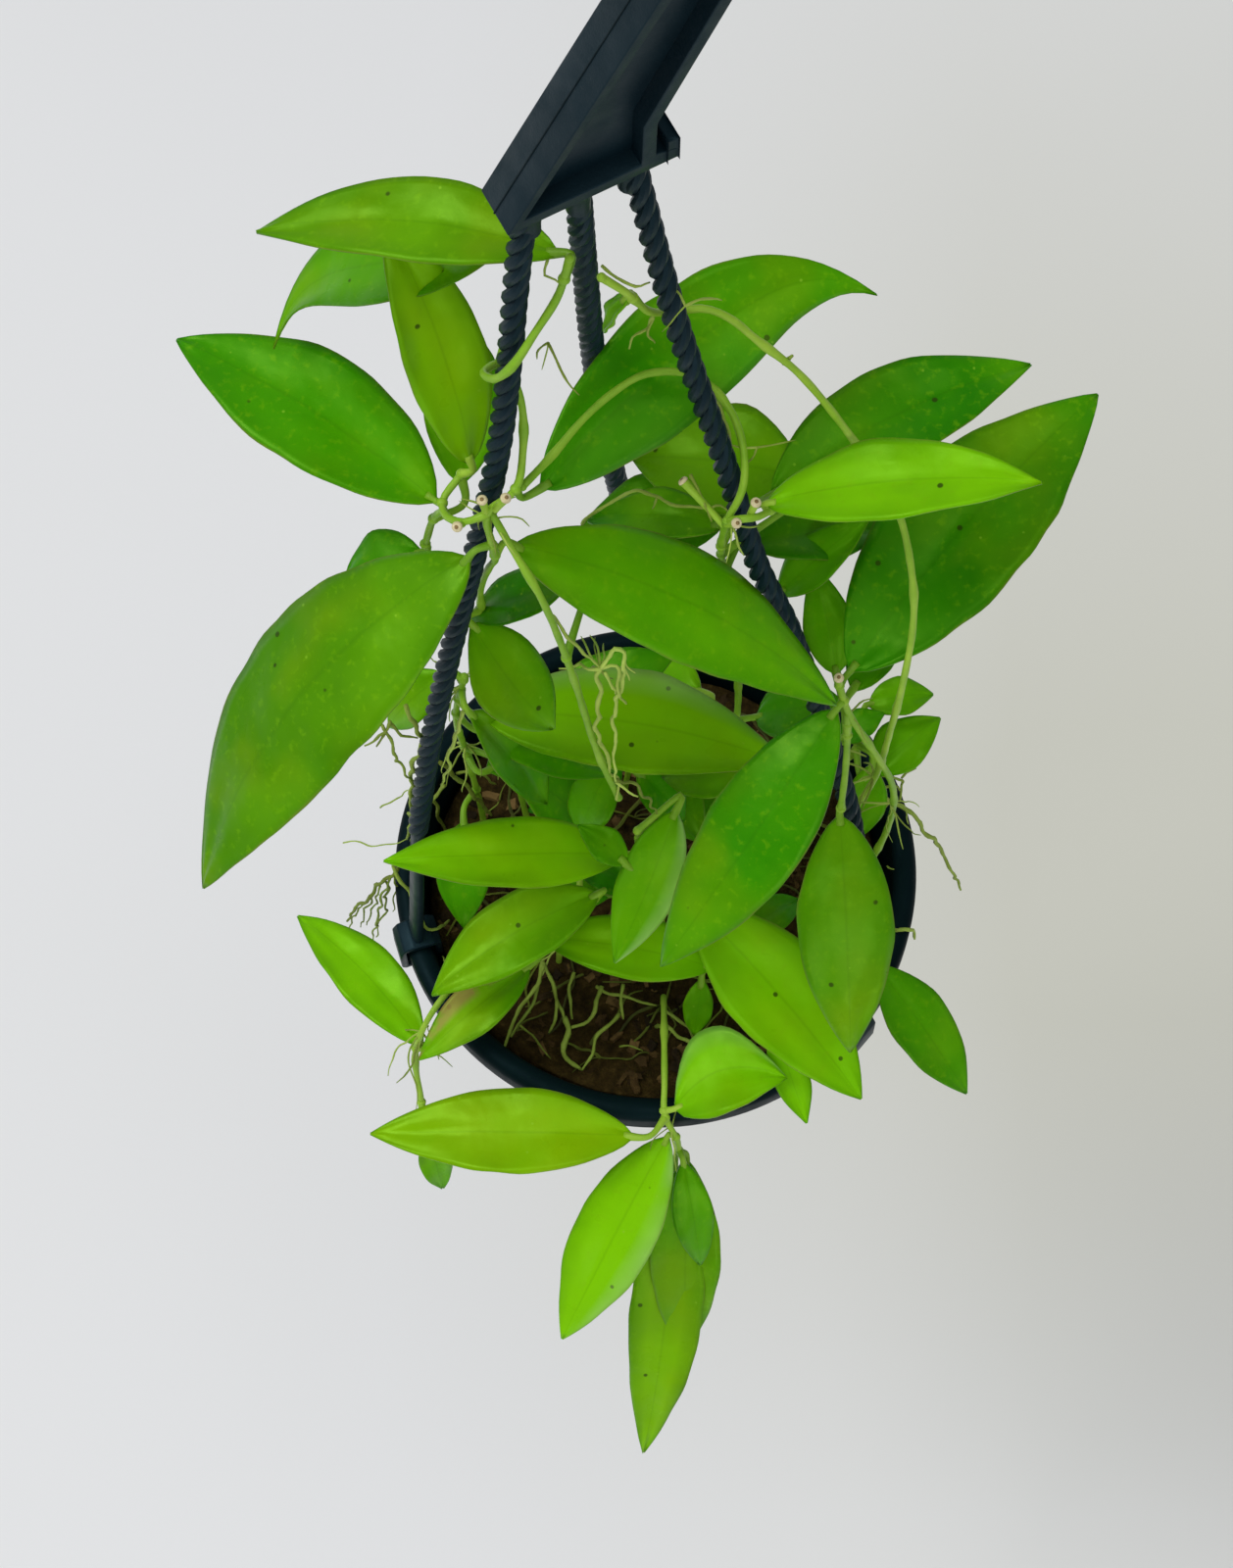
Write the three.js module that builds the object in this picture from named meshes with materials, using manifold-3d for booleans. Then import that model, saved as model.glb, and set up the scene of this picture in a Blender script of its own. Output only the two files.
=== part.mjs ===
// A hanging pot of hoya oreogena: a moulded pot, a three-armed hanger with rope-like arms,
// a bark growing mix, and the climbing and trailing stems with their waxy leaves.
// Millimetres, +Z up. The origin is the middle of the pot's underside.
import * as THREE from 'three';
import { mergeVertices } from 'three/addons/utils/BufferGeometryUtils.js';
import Module from 'manifold-3d';

const wasm = await Module();
wasm.setup();

// Pot
const POT_HEIGHT = 110;
const RIM_RADIUS = 70;
const RIM_INNER_RADIUS = 63.5;
const RIM_DEPTH = 9;
const POT_TOP_RADIUS = 66;
const POT_BASE_RADIUS = 41;
const POT_WALL = 1.8;
const POT_FLOOR = 2.8;
const DRAIN_RADIUS = 4;
const DRAIN_CIRCLE = 31;
const DRAIN_COUNT = 6;
const DRAIN_SIDES = 12;
const FOOT_BEVEL = 1.5;
const POT_SIDES = 44;

// Growing mix
const MIX_TOP = 96;
const MIX_CLEARANCE = 0.4;
const STEM_HOLE_CLEARANCE = 0.8;
const STEM_FOOT = 85;
const HOLE_LENGTH = 30;
const HOLE_SIDES = 8;
const MIX_EDGE_DROP = 4;
const MIX_SIDES = 30;

// Hanger
const ARM_RADIUS = 2.9;
const ARM_TWIST_PITCH = 17;
const ARM_RINGS_PER_TURN = 5;
const STRAP_LENGTH = 44;
const STRAP_WIDTH = 6;
const STRAP_THICKNESS = 3;
const CLIP_WIDTH = 8.5;
const CLIP_INNER_LEG = 7;
const CLIP_CLEARANCE = 0.4;
const BAR_HEIGHT = 440;
const PLATE_CENTRE = new THREE.Vector3(-17.8, 23, BAR_HEIGHT);
const PLATE_YAW = THREE.MathUtils.degToRad(28);
const FLANGE_WIDTH = 11;
const FLANGE_THICKNESS = 3;
const WEB_THICKNESS = 2.6;
const HOOK_INNER_RADIUS = 14;
const HOOK_OUTER_RADIUS = 24;
const HOOK_CENTRE = new THREE.Vector2(14, 92);
const HOOK_TIP_ANGLE = THREE.MathUtils.degToRad(196);
const LATCH_WIDTH = 2.5;
const LATCH_HEIGHT = 7;
const LATCH_OFFSET = 17.25;
const ARM_ROOT_RADIUS = 4.8;
const ARM_ROOT_TIP_RADIUS = 1.2;
const ARM_ROOT_LENGTH = 11;
const ARM_ROOT_DROP = 5.2;
const ARM_ROOT_SIDES = 8;

// Plant
const STEM_RADIUS = 0.95;
const STEM_SIDES = 5;
const STEM_STEP = 11.5;
const STALK_RADIUS = 1.05;
const STALK_SINK = 2.5;
const STALK_SIDES = 4;
const STALK_BEND = 4;
const STUB_RADIUS = 1.3;
const STUB_SIDES = 5;
const BLADE_THICKNESS = 0.75;
const MIDRIB_THICKNESS = 1.2;
const BLADE_WAVE = 0.5;
const BLADE_ROW_STEP = 9.5;
const BLADE_END_HALF_WIDTH = 0.45;
const ROOT_RADIUS = 0.5;
const ROOT_SIDES = 3;
const ROOT_STEP = 9;
const SLIVER_VOLUME = 0.05;
const JOIN_TOLERANCE = 0.01;

const moulding = new THREE.MeshStandardMaterial({ color: 0x232d37, roughness: 0.5, metalness: 0 });
const potPlastic = new THREE.MeshStandardMaterial({ color: 0x1c242c, roughness: 0.45, metalness: 0 });
const bark = new THREE.MeshStandardMaterial({ color: 0x2e1d14, roughness: 0.95, metalness: 0 });
const deepGreen = new THREE.MeshStandardMaterial({ color: 0x3f8a0c, roughness: 0.35, metalness: 0 });
const brightGreen = new THREE.MeshStandardMaterial({ color: 0x74ab12, roughness: 0.4, metalness: 0 });

const vec = ([x, y, z]) => new THREE.Vector3(x, y, z);
const UP = new THREE.Vector3(0, 0, 1);

// Booleans

function solid(geometry) {
  const bare = geometry.index ? geometry.clone() : geometry;
  bare.deleteAttribute('normal');
  bare.deleteAttribute('uv');
  const merged = mergeVertices(bare, 1e-4);
  return new wasm.Manifold(new wasm.Mesh({
    numProp: 3,
    vertProperties: new Float32Array(merged.attributes.position.array),
    triVerts: new Uint32Array(merged.index.array),
  }));
}

// Joins solids into one body. A sliver that the join leaves loose is dropped.
function fused(solids, tolerance = 0) {
  const sum = solids.reduce((joined, piece) => joined.add(piece));
  const whole = tolerance > 0 ? sum.asOriginal().simplify(tolerance) : sum;
  const bodies = whole.decompose().sort((a, b) => b.volume() - a.volume());
  const loose = bodies.slice(1).find((body) => body.volume() > SLIVER_VOLUME);
  if (loose) {
    const { min, max } = loose.boundingBox();
    throw new Error(`a piece is not joined: ${min} to ${max}`);
  }
  return bodies[0];
}

function geometryOf(whole) {
  const mesh = whole.getMesh();
  const geometry = new THREE.BufferGeometry();
  geometry.setAttribute('position', new THREE.BufferAttribute(mesh.vertProperties, 3));
  geometry.setIndex(new THREE.BufferAttribute(mesh.triVerts, 1));
  return geometry;
}

// Basic forms

function polygonSolid(points, faces) {
  const geometry = new THREE.BufferGeometry();
  geometry.setFromPoints(points);
  geometry.setIndex(faces);
  return solid(geometry);
}

// Closed solid between two like grids of points, each square split alike on both faces.
function sheetSolid(upper, lower) {
  const rows = upper.length;
  const columns = upper[0].length;
  const below = rows * columns;
  const at = (i, j) => i * columns + j;
  const faces = [];
  for (let i = 0; i < rows - 1; i += 1) {
    for (let j = 0; j < columns - 1; j += 1) {
      const [a, b, c, d] = [at(i, j), at(i + 1, j), at(i + 1, j + 1), at(i, j + 1)];
      faces.push(a, b, c, a, c, d);
      faces.push(a + below, c + below, b + below, a + below, d + below, c + below);
    }
  }
  const border = [];
  for (let i = 0; i < rows - 1; i += 1) border.push(at(i, 0));
  for (let j = 0; j < columns - 1; j += 1) border.push(at(rows - 1, j));
  for (let i = rows - 1; i > 0; i -= 1) border.push(at(i, columns - 1));
  for (let j = columns - 1; j > 0; j -= 1) border.push(at(0, j));
  border.forEach((p, k) => {
    const q = border[(k + 1) % border.length];
    faces.push(p, p + below, q + below, p, q + below, q);
  });
  return polygonSolid([...upper.flat(), ...lower.flat()], faces);
}

// Closed solid through a row of like rings, with a flat fan at each end.
function ringSolid(rings) {
  const count = rings[0].length;
  const faces = [];
  for (let i = 0; i < rings.length - 1; i += 1) {
    for (let k = 0; k < count; k += 1) {
      const next = (k + 1) % count;
      const [a, b] = [i * count + k, i * count + next];
      const [c, d] = [(i + 1) * count + next, (i + 1) * count + k];
      faces.push(a, b, c, a, c, d);
    }
  }
  const last = (rings.length - 1) * count;
  for (let k = 1; k < count - 1; k += 1) {
    faces.push(0, k + 1, k);
    faces.push(last, last + k, last + k + 1);
  }
  return polygonSolid(rings.flat(), faces);
}

function tube(curve, radius, sides, steps) {
  const corners = [];
  for (let k = 0; k < sides; k += 1) {
    const angle = (2 * Math.PI * k) / sides;
    corners.push(new THREE.Vector2(radius * Math.cos(angle), radius * Math.sin(angle)));
  }
  return solid(new THREE.ExtrudeGeometry(new THREE.Shape(corners), {
    steps,
    bevelEnabled: false,
    extrudePath: curve,
  }));
}

function turned(outline, segments) {
  return solid(new THREE.LatheGeometry(outline, segments).rotateX(Math.PI / 2));
}

// Pot: one moulding with a rolled rim, tapering to a flat base with drainage holes

function potRadiusAt(height) {
  const share = height / (POT_HEIGHT - RIM_DEPTH);
  return POT_BASE_RADIUS + share * (POT_TOP_RADIUS - POT_BASE_RADIUS);
}

function makePot() {
  const rimBottom = POT_HEIGHT - RIM_DEPTH;
  const innerAtFloor = potRadiusAt(POT_FLOOR) - POT_WALL;
  const outline = [
    [0, 0],
    [POT_BASE_RADIUS - FOOT_BEVEL, 0],
    [POT_BASE_RADIUS, FOOT_BEVEL],
    [potRadiusAt(rimBottom), rimBottom],
    [RIM_RADIUS - 0.6, rimBottom],
    [RIM_RADIUS, rimBottom + 1.5],
    [RIM_RADIUS, POT_HEIGHT - 2.6],
    [RIM_RADIUS - 1, POT_HEIGHT - 0.8],
    [RIM_RADIUS - 3, POT_HEIGHT],
    [RIM_INNER_RADIUS + 1, POT_HEIGHT - 0.4],
    [RIM_INNER_RADIUS, POT_HEIGHT - 2],
    [RIM_INNER_RADIUS, rimBottom - 2],
    [innerAtFloor, POT_FLOOR],
    [0, POT_FLOOR],
  ].map(([r, z]) => new THREE.Vector2(r, z));
  let pot = turned(outline, POT_SIDES);
  for (let k = 0; k < DRAIN_COUNT; k += 1) {
    const angle = (k * 2 * Math.PI) / DRAIN_COUNT;
    const drill = new THREE.CylinderGeometry(
      DRAIN_RADIUS,
      DRAIN_RADIUS,
      3 * POT_FLOOR,
      DRAIN_SIDES,
    );
    drill.rotateX(Math.PI / 2);
    drill.translate(DRAIN_CIRCLE * Math.cos(angle), DRAIN_CIRCLE * Math.sin(angle), 0);
    pot = pot.subtract(solid(drill));
  }
  return pot;
}

// Hanger: one moulding of hook, flanged plate, crossbar, three twisted arms and three rim clips

const plateAlong = new THREE.Vector3(Math.cos(PLATE_YAW), Math.sin(PLATE_YAW), 0);
const plateAcross = new THREE.Vector3(-Math.sin(PLATE_YAW), Math.cos(PLATE_YAW), 0);

// Corners of the hook plate below the hook, each as its outer place and its place inside the
// flange. The plate leans to one side as it rises, and turns over into the hook.
const PLATE_RIGHT = [
  [[-17.5, 0], [-13.7, 3]],
  [[18.5, 0], [10.6, 3]],
  [[18.5, 3.4], [10.7, 3.6]],
  [[13.8, 4.6], [10.8, 5]],
  [[14, 15.5], [11, 16.2]],
  [[36, 62], [32.9, 62.5]],
];
const PLATE_LEFT = [[20, 68], [22.7, 66.6]];

// Outline of the hook plate, drawn in by the same distance all round.
function plateOutline(inset) {
  const shape = new THREE.Shape();
  const [cx, cy] = [HOOK_CENTRE.x, HOOK_CENTRE.y];
  const tip = HOOK_TIP_ANGLE - inset / HOOK_INNER_RADIUS;
  const corner = ([outer, inner]) => new THREE.Vector2(...outer)
    .lerp(new THREE.Vector2(...inner), inset / FLANGE_THICKNESS);
  const points = PLATE_RIGHT.map(corner);
  points.forEach(({ x, y }, k) => (k ? shape.lineTo(x, y) : shape.moveTo(x, y)));
  shape.lineTo(cx + HOOK_OUTER_RADIUS - inset, cy);
  shape.absarc(cx, cy, HOOK_OUTER_RADIUS - inset, 0, tip, false);
  shape.absarc(cx, cy, HOOK_INNER_RADIUS + inset, tip, 0, true);
  const left = corner(PLATE_LEFT);
  shape.lineTo(left.x, left.y);
  shape.closePath();
  return shape;
}

function plateSlab(inset, width) {
  const slab = new THREE.ExtrudeGeometry(plateOutline(inset), {
    depth: width,
    curveSegments: 7,
    bevelEnabled: false,
  });
  slab.translate(0, 0, -width / 2);
  const place = new THREE.Matrix4().makeBasis(plateAlong, UP, plateAcross.clone().negate());
  place.setPosition(PLATE_CENTRE);
  return solid(slab.applyMatrix4(place));
}

// The middle of each arm, from the crossbar down to where its rope-like stretch ends.
const ARMS = [
  {
    clip: 197,
    route: [[-27.3, 18.2, 442], [-29.5, 15.5, 417], [-33, 10, 372], [-36, 7, 345],
      [-49.5, -2.5, 259], [-54.5, -6.5, 225], [-60.5, -12.5, 172]],
  },
  {
    clip: 88,
    route: [[-18, 22.9, 442], [-16.5, 30, 380], [-15, 36.5, 331], [-10.5, 47.5, 252],
      [-3, 60, 172]],
  },
  {
    clip: 320,
    route: [[-8.3, 28, 442], [1.5, 20, 386], [11.5, 13, 341], [21, 6, 296],
      [28.7, 2, 271], [46.4, -11.5, 192], [49.6, -16.5, 172]],
  },
];

function radialFrame(degrees) {
  const angle = THREE.MathUtils.degToRad(degrees);
  const out = new THREE.Vector3(Math.cos(angle), Math.sin(angle), 0);
  const side = new THREE.Vector3(-Math.sin(angle), Math.cos(angle), 0);
  return { out, side };
}

// Twisted arm of three strands, as a three-cornered section that turns as it goes down.
function twistedArm(curve) {
  const length = curve.getLength();
  const count = Math.round((length / ARM_TWIST_PITCH) * ARM_RINGS_PER_TURN);
  const rings = [];
  for (let i = 0; i <= count; i += 1) {
    const centre = curve.getPointAt(i / count);
    const along = curve.getTangentAt(i / count);
    const side = new THREE.Vector3().crossVectors(UP, along).normalize();
    const front = new THREE.Vector3().crossVectors(along, side);
    const ring = [];
    for (let k = 0; k < 3; k += 1) {
      const angle = (2 * Math.PI * k) / 3 + (2 * Math.PI * i) / ARM_RINGS_PER_TURN;
      ring.push(centre.clone()
        .addScaledVector(side, ARM_RADIUS * Math.cos(angle))
        .addScaledVector(front, ARM_RADIUS * Math.sin(angle)));
    }
    rings.push(ring);
  }
  return ringSolid(rings);
}

// Smooth flat strap from the arm's end down to the clip over the rim.
function armStrap(start, degrees) {
  const { out, side } = radialFrame(degrees);
  const end = out.clone().multiplyScalar(RIM_RADIUS - 3.4).setZ(POT_HEIGHT + 1.6);
  const along = end.clone().sub(start).normalize();
  const face = new THREE.Vector3().crossVectors(side, along).normalize();
  const rings = [[-3, 0.62], [4, 0.8], [STRAP_LENGTH * 0.6, 0.9], [end.distanceTo(start), 1.1]];
  return ringSolid(rings.map(([distance, scale]) => {
    const centre = start.clone().addScaledVector(along, distance);
    return [[-1, -0.6], [-0.6, -1], [0.6, -1], [1, -0.6], [1, 0.6], [0.6, 1], [-0.6, 1], [-1, 0.6]]
      .map(([u, v]) => centre.clone()
        .addScaledVector(side, u * scale * STRAP_WIDTH / 2)
        .addScaledVector(face, -v * STRAP_THICKNESS / 2));
  }));
}

// Saddle that drops over the rim, with a lip that catches under the roll.
function rimClip(degrees) {
  const inside = RIM_INNER_RADIUS - 0.9;
  const outside = RIM_RADIUS + CLIP_CLEARANCE;
  const over = POT_HEIGHT + CLIP_CLEARANCE;
  const under = POT_HEIGHT - RIM_DEPTH - 0.5;
  const profile = new THREE.Shape([
    [inside, POT_HEIGHT - CLIP_INNER_LEG],
    [inside, over],
    [outside, over],
    [outside, under],
    [POT_TOP_RADIUS + 1, under],
    [POT_TOP_RADIUS + 1, under - 1.4],
    [outside + 1, under - 2],
    [outside + 1.9, under - 0.8],
    [outside + 1.9, over - 1.2],
    [outside + 0.6, over + 1.4],
    [outside - 2, over + 2.5],
    [inside, over + 2.2],
    [inside - 1.9, over + 0.4],
    [inside - 1.9, POT_HEIGHT - CLIP_INNER_LEG],
  ].map(([r, z]) => new THREE.Vector2(r, z)));
  const saddle = new THREE.ExtrudeGeometry(profile, { depth: CLIP_WIDTH, bevelEnabled: false });
  saddle.translate(0, 0, -CLIP_WIDTH / 2);
  saddle.rotateX(Math.PI / 2);
  saddle.rotateZ(THREE.MathUtils.degToRad(degrees));
  return solid(saddle);
}

function makeHanger() {
  const rim = plateSlab(0, FLANGE_WIDTH).subtract(plateSlab(FLANGE_THICKNESS, FLANGE_WIDTH + 2));
  const latch = new THREE.BoxGeometry(LATCH_WIDTH, FLANGE_WIDTH, LATCH_HEIGHT);
  latch.translate(LATCH_OFFSET, 0, LATCH_HEIGHT / 2).rotateZ(PLATE_YAW);
  latch.translate(...PLATE_CENTRE);
  const pieces = [rim, plateSlab(FLANGE_THICKNESS / 2, WEB_THICKNESS), solid(latch)];
  ARMS.forEach(({ clip, route }) => {
    const curve = new THREE.CatmullRomCurve3(route.map(vec), false, 'centripetal');
    const root = new THREE.CylinderGeometry(
      ARM_ROOT_RADIUS,
      ARM_ROOT_TIP_RADIUS,
      ARM_ROOT_LENGTH,
      ARM_ROOT_SIDES,
    ).rotateX(Math.PI / 2);
    const top = curve.getPointAt(0.012);
    root.translate(top.x, top.y, BAR_HEIGHT - ARM_ROOT_DROP);
    pieces.push(solid(root));
    pieces.push(twistedArm(curve));
    pieces.push(armStrap(curve.getPointAt(1), clip));
    pieces.push(rimClip(clip));
  });
  return fused(pieces, JOIN_TOLERANCE / 5);
}

// Plant: stems, leaves on their stalks, old flower stubs and aerial roots

// Route of a stem as a smooth curve. A stem that starts in the mix rises straight out of its hole.
function stemCurve(route) {
  const points = route.map(vec);
  if (points[0].z === STEM_FOOT) points.splice(1, 0, points[0].clone().setZ(STEM_FOOT + 7));
  return new THREE.CatmullRomCurve3(points, false, 'centripetal');
}

function stemSteps(curve) {
  const length = curve.getLength();
  return Math.max(2, Math.round(length / Math.min(STEM_STEP, 4 + length / 12)));
}

// Point nearest to a leaf's base on the straight stretches that the stems are made of.
function nearestOn(curves, point) {
  let best = null;
  curves.forEach((curve) => {
    const corners = curve.getSpacedPoints(stemSteps(curve));
    corners.slice(1).forEach((corner, k) => {
      const candidate = new THREE.Line3(corners[k], corner)
        .closestPointToPoint(point, true, new THREE.Vector3());
      const distance = candidate.distanceTo(point);
      if (!best || distance < best.distance) best = { candidate, distance };
    });
  });
  return best.candidate;
}

// Share of a blade's full half width along its length, blunt at the stalk and drawn to a point.
function bladeProfile(share) {
  return Math.sin(Math.PI * share ** 0.86) ** 0.82 * (1 - 0.22 * share ** 5);
}

// Leaf from its stalk end to its tip. bow lifts the middle, sweep bends the blade sideways, crook
// does so to its outer half, roll turns it about its length, and fold raises (or, below zero,
// drops) the edges.
function makeLeaf(base, tip, width, shape, wavePhase) {
  const { bow = 3, sweep = 0, crook = 0, roll = 0, fold = 0.16 } = shape;
  const along = tip.clone().sub(base);
  const length = along.length();
  along.normalize();
  const side = new THREE.Vector3().crossVectors(UP, along).normalize();
  side.applyAxisAngle(along, THREE.MathUtils.degToRad(roll));
  const face = new THREE.Vector3().crossVectors(along, side);
  const rows = Math.max(5, Math.round(length / BLADE_ROW_STEP));
  const upper = [];
  const lower = [];
  for (let i = 0; i <= rows; i += 1) {
    const share = i / rows;
    const arch = 4 * share * (1 - share);
    const outerArch = 2.1 * share ** 2 * (1 - share ** 8);
    const half = Math.max(BLADE_END_HALF_WIDTH, bladeProfile(share) * width / 2);
    const middle = base.clone()
      .addScaledVector(along, length * share)
      .addScaledVector(face, bow * arch)
      .addScaledVector(side, sweep * arch + crook * outerArch);
    const rowUp = [];
    const rowDown = [];
    [-1, 0, 1].forEach((across) => {
      const wave = BLADE_WAVE * Math.sin(Math.PI * 4.4 * share + wavePhase + 1.6 * across);
      const lift = Math.abs(across) * (fold * half + wave * (half * 2 / width));
      const thickness = across === 0 ? MIDRIB_THICKNESS : BLADE_THICKNESS;
      const point = middle.clone()
        .addScaledVector(side, across * half)
        .addScaledVector(face, lift);
      rowUp.push(point.clone().addScaledVector(face, thickness / 2));
      rowDown.push(point.clone().addScaledVector(face, -thickness / 2));
    });
    upper.push(rowUp);
    lower.push(rowDown);
  }
  return { blade: sheetSolid(upper, lower), along };
}

function stalkTo(start, base, along) {
  const inBlade = base.clone().addScaledVector(along, STALK_SINK);
  const reach = Math.min(STALK_BEND, base.distanceTo(start) * 0.4);
  const bend = base.clone().addScaledVector(along, -reach);
  return tube(new THREE.CatmullRomCurve3([start, bend, inBlade]), STALK_RADIUS, STALK_SIDES, 3);
}

function stub([x, y, z], [toX, toY, toZ]) {
  const line = new THREE.LineCurve3(new THREE.Vector3(x, y, z), new THREE.Vector3(toX, toY, toZ));
  return tube(line, STUB_RADIUS, STUB_SIDES, 1);
}

function rootStrand(points) {
  const curve = new THREE.CatmullRomCurve3(points.map(vec));
  const steps = Math.max(2, Math.round(curve.getLength() / ROOT_STEP));
  return tube(curve, ROOT_RADIUS, ROOT_SIDES, steps);
}

function makeShoot({ stems, leaves = [], stubs = [], roots = [] }, number) {
  const curves = stems.map(stemCurve);
  const pieces = curves.map((curve) => tube(curve, STEM_RADIUS, STEM_SIDES, stemSteps(curve)));
  leaves.forEach(([from, to, width, shape = {}], index) => {
    const base = vec(from);
    const { blade, along } = makeLeaf(base, vec(to), width, shape, number + 2.1 * index);
    pieces.push(blade);
    pieces.push(stalkTo(nearestOn(curves, base), base, along));
  });
  stubs.forEach(([from, to]) => pieces.push(stub(from, to)));
  roots.forEach((points) => pieces.push(rootStrand(points)));
  return fused(pieces, JOIN_TOLERANCE);
}

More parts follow.
